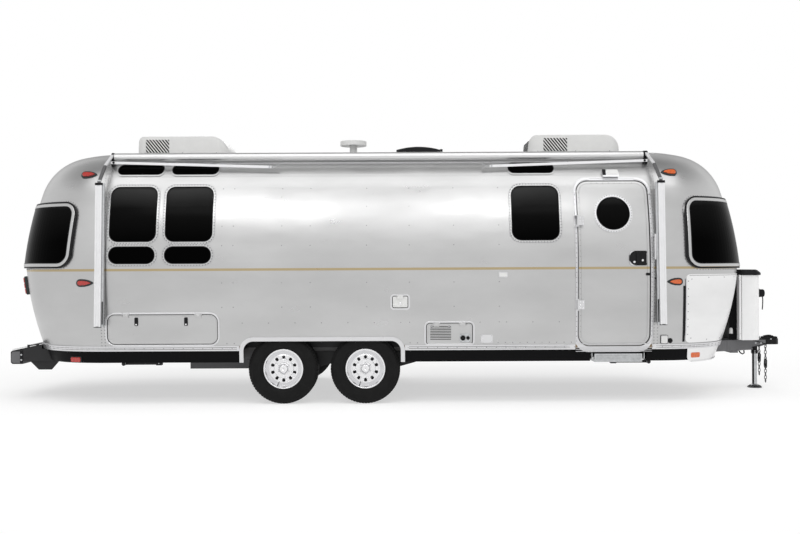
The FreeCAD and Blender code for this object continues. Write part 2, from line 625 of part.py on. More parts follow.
def drawbar(side):
    slope = math.tan(math.radians(DRAWBAR_ANGLE))
    back_x = DRAWBAR_BACK_X
    z = sum(FRAME_Z) / 2
    start = (back_x, side * (DRAWBAR_NOSE[1] + slope * (DRAWBAR_NOSE[0] - back_x)), z)
    end = (DRAWBAR_NOSE[0] + DRAWBAR_LAP, side * (DRAWBAR_NOSE[1] - slope * DRAWBAR_LAP), z)
    beam = bar(start, end, DRAWBAR_WIDTH, FRAME_Z[1] - FRAME_Z[0], (0, 1, 0))
    return beam.cut(box((COUPLER_BACK_X, FAR), (-FAR, FAR), (0, FAR)))


def build_chassis():
    pieces = []
    inside = (FRAME_Z[0] + RAIL_SHEET[0], FRAME_Z[1] - RAIL_SHEET[0])
    for s in (1, -1):
        rail = box(RAIL_X, (s * RAIL_Y[0], s * RAIL_Y[1]), FRAME_Z)
        hollow = box((-FAR, FAR), (s * (RAIL_Y[1] - sum(RAIL_SHEET) - 10), s * (RAIL_Y[1] - RAIL_SHEET[0])), inside)
        pieces.append(rail.cut(hollow))
        pieces.append(drawbar(s))
        pieces.append(box((TRAY_FRONT_X, CROSS_X[0]), (s * BUMPER_ARM_Y[0], s * BUMPER_ARM_Y[1]), FRAME_Z))
    reach = RAIL_Y[0] + CROSS_LAP
    pieces += [box((x - CROSS_HALF, x + CROSS_HALF), (-reach, reach), inside) for x in CROSS_X]
    x, half, lower = FRONT_CROSS
    pieces.append(box(x, (-half, half), (FRAME_Z[0] + lower, FRAME_Z[1] - lower)))
    x, half, thick = NOSE_PLATE
    pieces.append(box(x, (-half, half), (FRAME_Z[1], FRAME_Z[1] + thick)))
    back, half = NOSE_BLOCK
    pieces.append(box((COUPLER_BACK_X - back, COUPLER_BACK_X), (-half, half), FRAME_Z))
    x, half, drop = POWER_BOX
    pieces.append(box(x, (-half, half), (FRAME_Z[0] - drop, FRAME_Z[0])))
    export("chassis_frame", join(pieces))
    edge = [(COUPLER_BACK_X, 104.0), (COUPLER_BACK_X + 150, 56.0), (COUPLER_TIP_X - 30, 48.0), (COUPLER_TIP_X, 20.0)]
    body = plate([(x, -y) for x, y in edge] + list(reversed(edge)), "z", *COUPLER_Z)
    x0, x1, top = COUPLER_HOUSING
    back, front = HOUSING_HALF
    housing = plate([(x0, -back), (x1, -front), (x1, front), (x0, back)], "z", COUPLER_Z[1], top)
    start, end, low, high, half = LATCH
    latch = plate([(x0 + start, top), (x0 + start, top + low), (x0 + end, top + high), (x0 + end, top)],
                  "y", -half, half)
    body = join([body, housing, latch]).cut(rod((JACK_X, 0, 0), (JACK_X, 0, FAR), JACK_TUBE[0]))
    ball_x = COUPLER_TIP_X - BALL_SETBACK
    socket = rod((ball_x, 0, COUPLER_Z[0]), (ball_x, 0, COUPLER_Z[0] + BALL_DEPTH), BALL_RADIUS)
    export("coupler", body.cut(socket))


AXLE_HALF = 915.0
ARM_Y = 932.0                      # middle of a swinging arm
ARM_SECTION = (70.0, 34.0)
SPINDLE_END = 1110.0
BRAKE_PLATE = (949.0, 957.0, 150.0)
HANGER = [(90.0, 520.0), (90.0, 372.0), (200.0, 345.0), (366.0, 358.0), (520.0, 400.0), (520.0, 520.0)]
HANGER_SHEET = 8.0


def build_axles():
    axles = []
    for x in WHEEL_X.values():
        tube_x, tube_z = x + ARM_RUN[0], TYRE_RADIUS + ARM_RUN[1]
        tube = box((tube_x - AXLE_TUBE / 2, tube_x + AXLE_TUBE / 2), (-AXLE_HALF, AXLE_HALF),
                   (tube_z - AXLE_TUBE / 2, tube_z + AXLE_TUBE / 2))
        pieces = [tube]
        for s in (1, -1):
            inner, outer, radius = BRAKE_PLATE
            pieces.append(bar((tube_x, s * ARM_Y, tube_z), (x, s * ARM_Y, TYRE_RADIUS), *ARM_SECTION, (0, 0, 1)))
            pieces.append(rod((x, s * AXLE_HALF, TYRE_RADIUS), (x, s * SPINDLE_END, TYRE_RADIUS), SPINDLE_RADIUS))
            pieces.append(rod((x, s * inner, TYRE_RADIUS), (x, s * outer, TYRE_RADIUS), radius))
            pieces.append(plate([(x + ahead, z) for ahead, z in HANGER], "y", s * RAIL_Y[1],
                                s * (RAIL_Y[1] + HANGER_SHEET)))
        axles.append(join(pieces))
    export("axles", *axles)


# ---------------------------------------------------------------- wheels
def turned(points, x, side, z=TYRE_RADIUS):
    """A ring turned about a wheel's axis. points are (radius, distance from the tyre's middle, outwards)."""
    corners = [Vector(x, TRACK_Y + out, z + radius) for radius, out in points]
    face = Part.Face(Part.makePolygon(corners + corners[:1]))
    return sided(face.revolve(Vector(x, 0, z), Vector(0, 1, 0), 360), side)


RIM_HALF = RIM_WIDTH / 2
RIM_FLANGE = RIM_RADIUS + 14.5
# outlines turned about the wheel's axis: (radius, distance outwards from the tyre's middle)
TYRE_SIDE = [(RIM_RADIUS, RIM_HALF - 9.5), (RIM_FLANGE + 1, RIM_HALF - 6), (RIM_FLANGE + 11, RIM_HALF + 9),
             (RIM_FLANGE + 57, TYRE_WIDTH / 2 - 1), (TYRE_RADIUS - 59.5, TYRE_WIDTH / 2),
             (TYRE_RADIUS - 24.5, TYRE_WIDTH / 2 - 11),
             (TYRE_RADIUS, TYRE_WIDTH / 2 - 36)]
TYRE_SEAT = [(RIM_RADIUS, RIM_HALF - 31), (RIM_RADIUS + 5, RIM_HALF - 35)]
RIM_LIP = [(RIM_RADIUS - 18, 40.0), (RIM_RADIUS, RIM_HALF - 32), (RIM_RADIUS, RIM_HALF - 8),
           (RIM_FLANGE, RIM_HALF - 5), (RIM_FLANGE, RIM_HALF)]
WHEEL_DISC = [(RIM_RADIUS, RIM_HALF), (RIM_RADIUS - 26, 36.0), (RIM_RADIUS - 40.5, 44.0), (RIM_RADIUS - 58.5, 50.0),
              (RIM_RADIUS - 90.5, 42.0),
              (70.0, 34.0), (0.0, 34.0), (0.0, 26.0), (70.0, 26.0), (RIM_RADIUS - 90.5, 34.0),
              (RIM_RADIUS - 60.5, 42.0), (RIM_RADIUS - 44.5, 36.0),
              (RIM_RADIUS - 24, 18.0), (RIM_RADIUS - 24, -30.0), (RIM_RADIUS - 6, 32 - RIM_HALF),
              (RIM_RADIUS - 6, -RIM_HALF)]
BARREL_STEP = (RIM_RADIUS - 18, -35.0)
HUB_CAP = [(0.0, 34.0), (42.0, 34.0), (42.0, 70.0), (36.0, 78.0), (0.0, 78.0)]
HUB_BORE = SPINDLE_RADIUS + RUNNING_GAP
BRAKE_DRUM = [(HUB_BORE, -120.0), (60.0, -120.0), (60.0, -70.0), (RIM_RADIUS - 50.5, -70.0), (RIM_RADIUS - 40.5, -124.0),
              (RIM_RADIUS - 34.5, -124.0), (RIM_RADIUS - 34.5, -20.0), (60.0, -20.0), (60.0, 26.0), (HUB_BORE, 26.0)]
HOLE_COUNT = 10
HOLE_RING = RIM_RADIUS - 72.5
HOLE_RADIUS = 18.5
HOLE_REACH = (20.0, 60.0)


def build_wheels():
    tyre = TYRE_SIDE + [(r, -y) for r, y in reversed(TYRE_SIDE)]
    tyre += [(r, -y) for r, y in TYRE_SEAT] + list(reversed(TYRE_SEAT))
    barrel = [(r, -y) for r, y in reversed(RIM_LIP)] + [BARREL_STEP] + RIM_LIP + WHEEL_DISC
    turns = [2 * math.pi * (n + 0.5) / HOLE_COUNT for n in range(HOLE_COUNT)]
    for end, x in WHEEL_X.items():
        for name, side in SIDES.items():
            label = end + "_" + name
            export("tyre_" + label, turned(tyre, x, side))
            holes = []
            for turn in turns:
                hole_x, hole_z = x + HOLE_RING * math.cos(turn), TYRE_RADIUS + HOLE_RING * math.sin(turn)
                start, end_y = (side * (TRACK_Y + out) for out in HOLE_REACH)
                holes.append(rod((hole_x, start, hole_z), (hole_x, end_y, hole_z), HOLE_RADIUS))
            disc = turned(barrel, x, side).cut(Part.makeCompound(holes))
            export("wheel_" + label, join([disc, turned(HUB_CAP, x, side), turned(BRAKE_DRUM, x, side)]))


# ---------------------------------------------------------------- nose, rear and roof fittings
GAS_COVER_X = (3789.0, 4076.0)
GAS_COVER_Z = (569.0, 1290.0)
GAS_COVER_HALF = 330.0
GAS_COVER_CORNER = 120.0
JACK_RECESS = (3948.0, 72.0)


def gas_outline(grow, z):
    """The plan of the gas bottle cover between two heights, with the recess for the jack at its front."""
    wire = rounded((GAS_COVER_X[0] - grow, -GAS_COVER_HALF - grow), (GAS_COVER_X[1] + grow, GAS_COVER_HALF + grow),
                   GAS_COVER_CORNER + grow, Vector(0, 0, z[0]), Vector(1, 0, 0), Vector(0, 1, 0))
    recess = box((JACK_RECESS[0] - grow, FAR), (-JACK_RECESS[1] + grow, JACK_RECESS[1] - grow), (0, FAR))
    return Part.Face(wire).extrude(Vector(0, 0, z[1] - z[0])).cut(recess)


CORNER_PANEL_X = 2875.0
CORNER_PANEL_Z = (410.0, 420.0)    # the bottom edge of the corner panels, and the top of its lip
GAS_BACK_X = 3700.0
GAS_BACK_HALF = 250.0
GAS_BACK_RISE = (6.0, 30.0)        # clear of the frame's top plate, and below the cover's top
LID_RISE = (26.0, 62.0)
LID_STEPS = ((10.0, LID_RISE[0]), (-8.0, 48.0), (-60.0, LID_RISE[1]))   # outwards from the cover, height above it
JACK_COLLAR = (6.0, 40.0)
JACK_HEAD = ((-45.0, 50.0), 42.0, 90.0)
JACK_KNOB = (40.0, 58.0)
JACK_BORE_ROOF = 20.0
GUARD = ((2846.0, 3640.0), (614.0, 1318.0), 45.0, 8.0)   # x, z, corner radius and thickness
GUARD_INNER_Y = 470.0
PANEL_TOP = 80.0                   # how far the lower corner panel reaches up behind the rub rail
PANEL_CORNER = 60.0
PANEL_LIP = 9.0
CHAIN_RADIUS = 11.0
# x, y and lowest point of each safety chain
CHAINS = [(4112.0, -38.0, 36.0), (4078.0, 62.0, 70.0)]


def build_nose():
    z0, z1 = JACK_TUBE_Z
    outer, inner = JACK_TUBE
    grow, high = JACK_COLLAR
    tube = rod((JACK_X, 0, z0), (JACK_X, 0, z1), outer)
    collar = rod((JACK_X, 0, z0), (JACK_X, 0, z0 + high), outer + grow)
    (back, front), half, high = JACK_HEAD
    head = box((JACK_X + back, JACK_X + front), (-half, half), (z1, z1 + high))
    radius, run = JACK_KNOB
    knob = rod((JACK_X + front, 0, z1 + high / 2), (JACK_X + front + run, 0, z1 + high / 2), radius)
    bore = rod((JACK_X, 0, z0), (JACK_X, 0, z1 - JACK_BORE_ROOF), inner)
    export("jack_tube", join([tube, collar, head, knob]).cut(bore))
    radius, thick, cone_top = JACK_FOOT
    leg = rod((JACK_X, 0, thick), (JACK_X, 0, JACK_LEG_TOP_Z), JACK_LEG)
    foot = rod((JACK_X, 0, 0), (JACK_X, 0, thick), radius)
    cone = Part.makeCone(radius - 6, JACK_LEG + 5, cone_top - thick, Vector(JACK_X, 0, thick))
    export("jack_leg", join([leg, foot, cone]))
    export("gas_cover", gas_outline(0.0, GAS_COVER_Z))
    top = GAS_COVER_Z[1]
    lip = LID_STEPS[0][0]
    rim = gas_outline(lip, (top, top + LID_RISE[0]))
    wires = [rounded((GAS_COVER_X[0] - g, -GAS_COVER_HALF - g), (GAS_COVER_X[1] + g, GAS_COVER_HALF + g),
                     GAS_COVER_CORNER + g, Vector(0, 0, top + z), Vector(1, 0, 0), Vector(0, 1, 0))
             for g, z in LID_STEPS]
    dome = join([Part.makeLoft(wires[i:i + 2], True, True) for i in (0, 1)])
    half = JACK_RECESS[1] - lip
    dome = dome.cut(box((JACK_RECESS[0] - lip, FAR), (-half, half), (0, FAR)))
    export("gas_cover_lid", join([rim, dome]))
    low, high = GAS_BACK_RISE
    export("gas_cover_back", box((GAS_BACK_X, GAS_COVER_X[0]), (-GAS_BACK_HALF, GAS_BACK_HALF),
                                 (FRAME_Z[1] + low, top - high)))
    guards = []
    x, z, corner, thick = GUARD
    for side in SIDES.values():
        beside = box((0, FAR), (side * GUARD_INNER_Y, side * FAR), (0, FAR))
        guards.append(layer("front", -thick, 0.0).common(side_prism(x, z, corner, side)).common(beside))
        below = beside.common(box((0, FAR), (-FAR, FAR), (0, RAIL_Z[0])))
        region = side_prism((CORNER_PANEL_X, FAR), (CORNER_PANEL_Z[0], RAIL_Z[0] + PANEL_TOP), PANEL_CORNER, side)
        lip = side_prism((CORNER_PANEL_X + PANEL_CORNER, FAR), CORNER_PANEL_Z, MIN_CORNER, side)
        guards.append(join([layer("front", 0.0, SKIRT_INSET[0]).common(region.common(below)),
                            layer("front", -PANEL_LIP, 1.0).common(lip.common(below))]))
    export("front_guards", *guards)
    export("safety_chains", *[rod((x, y, z), (x, y, COUPLER_Z[0]), CHAIN_RADIUS) for x, y, z in CHAINS])


LID_AXIS = (BUMPER_X + 190.0, 576.0)
LID_PIN = 4.0


BUMPER_DEPTH = 127.0
# the beam's outline: (distance ahead of its rear face, z)
BEAM = [(0.0, 400.0), (18.0, 381.0), (BUMPER_DEPTH, 381.0), (BUMPER_DEPTH, 540.0), (18.0, 526.0), (0.0, 510.0)]
BEAM_HALF = 750.0
TRAY_HALF = 748.0
TRAY_Z = (413.0, 545.0)
TRAY_SHEET = 4.0
SKID = [(-4075.0, 413.0), (-3978.0, 316.0), (-3839.0, 316.0), (-3764.0, 401.0), (-3764.0, 413.0)]
SKID_Y = (700.0, 712.0)
WING = ((540.0, 545.0), (-3930.0, 590.0))
EAR = (12.0, 7.0)                  # half width and thickness of the ears that carry the lid's pin
LID_HALF = 736.0
LID_SHEET = 5.0
LID_FRONT_Z = 534.0
LID_SETBACK = 12.0


def build_rear():
    x0, x1 = BUMPER_X, BUMPER_X + BUMPER_DEPTH
    beam = plate([(x0 + ahead, z) for ahead, z in BEAM], "y", -BEAM_HALF, BEAM_HALF)
    inner = TRAY_HALF - TRAY_SHEET
    tray = box((x1, TRAY_FRONT_X), (-TRAY_HALF, TRAY_HALF), TRAY_Z).cut(
        box((x1 + TRAY_SHEET, TRAY_FRONT_X - TRAY_SHEET), (-inner, inner), (TRAY_Z[0] + TRAY_SHEET, FAR)))
    skids = [plate(SKID, "y", s * SKID_Y[0], s * SKID_Y[1]) for s in (1, -1)]
    (low, top), (end, high) = WING
    wings = [plate([(x1, low), (x1, top), (end, high), (end, top)], "y", s * inner, s * TRAY_HALF) for s in (1, -1)]
    hinge_x, hinge_z = LID_AXIS
    half, thick = EAR
    ears = [box((hinge_x - half, hinge_x + half), (s * (TRAY_HALF - thick), s * TRAY_HALF), (low, hinge_z + half))
            for s in (1, -1)]
    pin = rod((hinge_x, -TRAY_HALF, hinge_z), (hinge_x, TRAY_HALF, hinge_z), LID_PIN)
    export("rear_bumper", join([beam, tray, pin] + skids + wings + ears))
    start = x0 + LID_SETBACK
    lid = plate([(start, LID_FRONT_Z), (hinge_x, hinge_z - LID_SHEET), (hinge_x, hinge_z),
                 (start, LID_FRONT_Z + LID_SHEET)], "y", -LID_HALF, LID_HALF)
    barrel = rod((hinge_x, -LID_HALF, hinge_z), (hinge_x, LID_HALF, hinge_z), LID_PIN + LID_SHEET)
    bore = rod((hinge_x, -TRAY_HALF, hinge_z), (hinge_x, TRAY_HALF, hinge_z), LID_PIN + RUNNING_GAP)
    export("bumper_lid", join([lid, barrel]).cut(beam).cut(bore))


AC_RISE = 198.0
AC_HALF = 335.0
AC_CORNER = 130.0
# x from the unit's rear end, height, radius of the corner
AC_PROFILE = [(0.0, 0.0, 0.0), (22.0, AC_RISE, 70.0), (1006.0, AC_RISE, 185.0), (1030.0, 0.0, 0.0)]
AC_X = (-3025.0, 1367.0)
VENT_DOME = 900.0
VENT_AXIS = (402.0, 2705.0)
VENT_PIN = 4.0
VENT_KERB = ((-105.0, 382.0), 180.0, 28.0, 20.0)   # x, half width, height, thickness
VENT_LUG = (140.0, 5.0, 25.0, 9.0)  # y, half thickness, reach behind the axis, knuckle radius
VENT_LID = ((-115.0, 385.0), 190.0, 34.0, 4.0)     # x, half width, lowest height, thickness
VENT_TOP = 108.0
VENT_MIDDLE_X = 135.0
VENT_NOTCH = (35.0, 150.0, 15.0)
VENT_BARREL = 130.0
VENT_TONGUE = (60.0, 70.0)
ANTENNA = (-610.0, 2800.0, 2850.0, 42.0, 150.0)    # x, disc from z to z, radius of stalk and disc


def soft_face(corners):
    """A face in the XZ plane. corners are (x, z, radius of the corner)."""
    edges, ends = [], []
    for i, (x, z, radius) in enumerate(corners):
        here = Vector(x, 0, z)
        into = (here - Vector(corners[i - 1][0], 0, corners[i - 1][1])).normalize()
        after = corners[(i + 1) % len(corners)]
        out = (Vector(after[0], 0, after[1]) - here).normalize()
        turn = math.acos(into.dot(out))
        run = radius * math.tan(turn / 2)
        ends.append((here - into * run, here + out * run))
        if radius:
            bisector = (out - into).normalize()
            middle_point = here + bisector * (radius / math.cos(turn / 2) - radius)
            edges.append(Part.Arc(ends[-1][0], middle_point, ends[-1][1]).toShape())
    for i in range(len(ends)):
        edges.append(Part.LineSegment(ends[i - 1][1], ends[i][0]).toShape())
    return Part.Face(Part.Wire(Part.__sortEdges__(edges)))


def build_roof_units():
    units = []
    for x in AC_X:
        profile = soft_face([(x + a, ROOF_Z + z, r) for a, z, r in AC_PROFILE]).extrude(Vector(0, 2 * AC_HALF, 0))
        plan = rounded((x, -AC_HALF), (x + AC_PROFILE[-1][0], AC_HALF), AC_CORNER, Vector(0, 0, ROOF_Z),
                       Vector(1, 0, 0), Vector(0, 1, 0))
        profile.translate(Vector(0, -AC_HALF, 0))
        units.append(profile.common(Part.Face(plan).extrude(Vector(0, 0, AC_RISE + 1))))
    export("air_conditioners", *units)
    (back, front), half, high, wall = VENT_KERB
    kerb = box((back, front), (-half, half), (ROOF_Z, ROOF_Z + high)).cut(
        box((back + wall, front - wall), (wall - half, half - wall), (ROOF_Z, ROOF_Z + high)))
    x, z = VENT_AXIS
    lug_y, thick, behind, knob = VENT_LUG
    lugs = [box((x - behind, x + knob), (s * lug_y - thick, s * lug_y + thick), (ROOF_Z, z + knob)) for s in (1, -1)]
    pin = rod((x, -lug_y - thick, z), (x, lug_y + thick, z), VENT_PIN)
    disc_x, disc_low, disc_top, stalk, radius = ANTENNA
    disc = join([rod((disc_x, 0, ROOF_Z), (disc_x, 0, disc_low), stalk),
                 rod((disc_x, 0, disc_low), (disc_x, 0, disc_top), radius)])
    export("roof_fittings", join([kerb, pin] + lugs), disc)
    (back, front), half, low, thick = VENT_LID
    centre = Vector(VENT_MIDDLE_X, 0, ROOF_Z + VENT_TOP - VENT_DOME)
    block = box((back, front), (-half, half), (ROOF_Z + low, ROOF_Z + VENT_TOP + thick))
    core = box((back + thick, front - thick), (thick - half, half - thick), (ROOF_Z + low, ROOF_Z + VENT_TOP))
    lid = block.common(Part.makeSphere(VENT_DOME, centre)).cut(
        core.common(Part.makeSphere(VENT_DOME - thick, centre)))
    behind, wide, above = VENT_NOTCH
    lid = lid.cut(box((x - behind, FAR), (-wide, wide), (ROOF_Z, z + above)))
    low, top = VENT_TONGUE
    wide = VENT_BARREL
    knuckle = join([rod((x, -wide, z), (x, wide, z), knob),
                    box((x - knob, x + knob), (-wide, wide), (z, ROOF_Z + top)),
                    box((front - thick - 1, x + knob), (-wide, wide), (ROOF_Z + low, ROOF_Z + top))])
    knuckle = knuckle.cut(rod((x, -lug_y, z), (x, lug_y, z), VENT_PIN + RUNNING_GAP))
    export("vent_lid", join([lid, knuckle]))


TUBE_Y = -BODY_HALF_WIDTH + 340.0
TUBE_Z = 2573.0
ARM_X = (-3143.0, 2583.0)
BOSS_HALF = 35.0


BOSS_RADIUS = 48.0
TUBE_RADIUS = 45.0
ARM_FOOT = (-BODY_HALF_WIDTH - 75.0, 805.0)        # y and z of the bottom of an arm's upright
ARM_HEAD = (-BODY_HALF_WIDTH, 2350.0)
ARM_SIZE = (70.0, 38.0)
ARM_PAD = (35.0, (-BODY_HALF_WIDTH - 60.0, -BODY_HALF_WIDTH + 70.0), 45.0)
STRUT_SIZE = (30.0, 24.0)
STRUT_LAP = 5.0
RAFTER_START = (TUBE_Y - 80.0, 2535.0)
RAFTER_END = (TUBE_Y - 125.0, 2432.0)
RAFTER_X = (-1414.0, 858.0)
RAFTER_SIZE = (30.0, 16.0)


def build_awning():
    export("awning_tube", rod((ARM_X[0] + BOSS_HALF, TUBE_Y, TUBE_Z), (ARM_X[1] - BOSS_HALF, TUBE_Y, TUBE_Z),
                              TUBE_RADIUS))
    arms = []
    half, pad_y, high = ARM_PAD
    for x, tip in zip(ARM_X, RAFTER_X):
        upright = bar((x, *ARM_FOOT), (x, *ARM_HEAD), *ARM_SIZE)
        foot = box((x - half, x + half), pad_y, (ARM_FOOT[1], ARM_FOOT[1] + high))
        for part in ("middle", "rear", "front"):
            foot = foot.cut(form(part, 0.0))
        strut = bar((x, ARM_HEAD[0], ARM_HEAD[1] - STRUT_LAP), (x, TUBE_Y, TUBE_Z), *STRUT_SIZE)
        boss = rod((x - BOSS_HALF, TUBE_Y, TUBE_Z), (x + BOSS_HALF, TUBE_Y, TUBE_Z), BOSS_RADIUS)
        rafter = bar((x, *RAFTER_START), (tip, *RAFTER_END), *RAFTER_SIZE, (0, 1, 0))
        arms.append(join([upright, foot, strut, boss, rafter]))
    export("awning_arms", *arms)


STEP_X = (1912.0, 2400.0)
STEP_PIVOT = (-1128.0, 488.0)
STEP_HANGER = (-966.0, 464.0)
STEP_PIN = 6.0
ARM_THICK = 8.0
STAND_LENGTH = 365.0
STAND_Z = 395.0
STAND_PIN = 8.0
# end, pivot x, way the folded leg points
STANDS = [("rear", -2635.0, -1), ("front", 2174.0, 1)]


STEP_EYE = 17.0
STEP_ARM_DEPTH = 30.0
STEP_CLEARANCE = (6.0, 12.0)       # beside the tread, and arm to side plate with the tread's clearance
STEP_PIN_LAP = (3.0, 30.0)         # how far the pivot pin stops short of the tread, and the tread's pin reaches in
STEP_SIDE = [(-1196.0, 452.0), (-1196.0, 516.0), (-1100.0, 540.0), (-905.0, 540.0), (-905.0, 443.0), (-1100.0, 443.0)]
STEP_TIE = ((-945.0, -905.0), (520.0, 540.0))
TREAD_LIP = ((-1206.0, -1198.0), (420.0, 506.0))
TREAD_DECK = ((-1206.0, -925.0), (420.0, 428.0))
TREAD_SIDE = [(-1206.0, 420.0), (-1206.0, 506.0), (-1190.0, 506.0), (-1150.0, 445.0), (-990.0, 445.0),
              (-985.0, 482.0), (-948.0, 482.0), (-940.0, 445.0), (-925.0, 440.0), (-925.0, 420.0)]
TREAD_SHEET = 6.0
STAND_Y = 875.0
STAND_LEG = (18.0, 15.0, 14.0)     # reach behind the pivot, half width, half height
STAND_FOOT = (60.0, 20.0)          # half length and radius of the foot's tube
STAND_EAR = (30.0, 20.0, 26.0)     # half length, y from and to, off the leg's middle
STAND_PLATE = (45.0, 6.0)
BELOW_PIN = 20.0


def build_step():
    py, pz = STEP_PIVOT
    qy, qz = STEP_HANGER
    beside, apart = STEP_CLEARANCE
    short, lap = STEP_PIN_LAP
    arms, brackets = [], []
    for way, edge in ((-1, STEP_X[0]), (1, STEP_X[1])):
        arm_x = (edge + way * beside, edge + way * (beside + ARM_THICK))
        plate_x = (edge + way * (apart + ARM_THICK), edge + way * (apart + 2 * ARM_THICK))
        arm = join([bar((sum(arm_x) / 2, py, pz), (sum(arm_x) / 2, qy, qz), ARM_THICK, STEP_ARM_DEPTH),
                    rod((arm_x[0], py, pz), (arm_x[1], py, pz), STEP_EYE),
                    rod((arm_x[0], qy, qz), (arm_x[1], qy, qz), STEP_EYE)])
        arm = arm.cut(rod((arm_x[0], py, pz), (arm_x[1], py, pz), STEP_PIN + RUNNING_GAP))
        arms.append(join([arm, rod((edge - way * lap, qy, qz), (arm_x[1], qy, qz), STEP_PIN)]))
        pin = rod((plate_x[1], py, pz), (edge + way * short, py, pz), STEP_PIN)
        brackets.append(join([plate(STEP_SIDE, "x", *plate_x), pin]))
    outside = apart + ARM_THICK + ARM_THICK
    tie = box((STEP_X[0] - outside, STEP_X[1] + outside), *STEP_TIE)
    export("step_bracket", join(brackets + [tie]))
    export("step_arms", *arms)
    sides = [plate(TREAD_SIDE, "x", *x) for x in ((STEP_X[0], STEP_X[0] + TREAD_SHEET),
                                                  (STEP_X[1] - TREAD_SHEET, STEP_X[1]))]
    tread = join([box(STEP_X, *TREAD_LIP), box(STEP_X, *TREAD_DECK)] + sides)
    export("step_tread", tread.cut(rod((0, qy, qz), (FAR, qy, qz), STEP_PIN + RUNNING_GAP)))


def build_stands():
    brackets = []
    behind, leg_half, leg_rise = STAND_LEG
    foot_half, foot_radius = STAND_FOOT
    ear_half, ear_in, ear_out = STAND_EAR
    plate_half, thick = STAND_PLATE
    for end, pivot_x, way in STANDS:
        for name, side in SIDES.items():
            y = side * STAND_Y
            foot_x = pivot_x + way * STAND_LENGTH
            leg = box((pivot_x - way * behind, foot_x), (y - leg_half, y + leg_half),
                      (STAND_Z - leg_rise, STAND_Z + leg_rise))
            foot = rod((foot_x, y - foot_half, STAND_Z), (foot_x, y + foot_half, STAND_Z), foot_radius)
            bore = rod((pivot_x, y - ear_out, STAND_Z), (pivot_x, y + ear_out, STAND_Z), STAND_PIN + RUNNING_GAP)
            export("stabiliser_" + end + "_" + name, join([leg, foot]).cut(bore))
            ears = [box((pivot_x - ear_half, pivot_x + ear_half), (y + s * ear_in, y + s * ear_out),
                        (STAND_Z - BELOW_PIN, PAN_Z[0])) for s in (1, -1)]
            top = box((pivot_x - plate_half, pivot_x + plate_half), (y - ear_out, y + ear_out),
                      (PAN_Z[0] - thick, PAN_Z[0]))
            pin = rod((pivot_x, y - ear_out, STAND_Z), (pivot_x, y + ear_out, STAND_Z), STAND_PIN)
            brackets.append(join(ears + [top, pin]))
    export("stabiliser_brackets", *brackets)


# part of the body, colour, x low, x high, z low, z high, corner radius, how far behind the skin it starts
LAMPS = [("rear", "red", -3420, -3270, 2358, 2408, 24, 0.0), ("rear", "red", -3390, -3235, 1230, 1282, 24, 0.0),
         ("rear", "red", -3480, -3370, 440, 492, 24, SKIRT_INSET[0]),
         ("front", "amber", 2680, 2822, 2362, 2412, 24, 0.0), ("front", "amber", 2672, 2815, 1218, 1270, 24, 0.0),
         ("front", "amber", 2915, 3020, 455, 512, 24, 0.0)]


# name, part of the body, side, x low, x high, z low, z high, corner radius, how far it stands out
WALL_PLATES = [
    ("drain plate", "middle", "kerb", 743, 864, 626, 709, 8, 8),
    ("step light", "middle", "kerb", 923, 1016, 1294, 1350, 12, 18),
    ("door light", "middle", "kerb", 2026, 2191, 2329, 2390, 10, 36),
    ("air inlet", "front", "kerb", 2583, 2655, 610, 695, 10, 10),
    ("power inlet", "middle", "road", 150, 290, 640, 760, 20, 12),
    ("water inlet", "middle", "road", 430, 520, 655, 745, 12, 10),
    ("heater vent", "middle", "road", 760, 1040, 640, 900, 16, 10),
    ("cooler vent", "middle", "road", 1850, 2380, 660, 1010, 20, 12),
]
GRAB_HANDLE = (2510.0, 1470.0, 1730.0, 11.0)   # x, z low, z high, radius
GRAB_STAND = 55.0
GRAB_POST = (20.0, 2.0)            # from the handle's ends, and how much thinner than the handle
LAMP_PROUD = 18.0
TAIL_LAMP = ((560.0, 650.0), (1126.0, 1324.0), 45.0)


def build_fittings():
    export("wall_fittings", *[side_prism((x0, x1), (z0, z1), r, SIDES[side]).common(layer(part, -proud, 0.0))
                              for name, part, side, x0, x1, z0, z1, r, proud in WALL_PLATES])
    x, low, high, radius = GRAB_HANDLE
    y = -half_width(low) - GRAB_STAND
    handle = [rod((x, y, low), (x, y, high), radius)]
    inside, thinner = GRAB_POST
    for z in (low + inside, high - inside):
        post = rod((x, y, z), (x, WALL - half_width(z), z), radius - thinner)
        handle.append(post.cut(form("middle", 0.0)))
    export("grab_handle", join(handle))


def build_lamps():
    shapes = {"red": [], "amber": []}
    for part, colour, x0, x1, z0, z1, r, inset in LAMPS:
        for side in (-1, 1):
            lens = side_prism((x0, x1), (z0, z1), r, side)
            shapes[colour].append(lens.common(layer(part, -LAMP_PROUD, inset)))
    (inner, outer), z, proud = TAIL_LAMP
    for side in (-1, 1):
        block = box((-FAR, REAR_SEAM_X), (side * inner, side * outer), z)
        shapes["red"].append(block.common(layer("rear", -proud, 0.0)))
    export("red_lamps", *shapes["red"])
    export("amber_lamps", *shapes["amber"])


build_body()
build_windows()
build_doors()
build_base()
build_chassis()
build_axles()
build_wheels()
build_nose()
build_rear()
build_roof_units()
build_awning()
build_step()
build_stands()
build_lamps()
build_fittings()
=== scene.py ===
import math

import bmesh
import bpy
from mathutils import Matrix, Vector
from mathutils.bvhtree import BVHTree


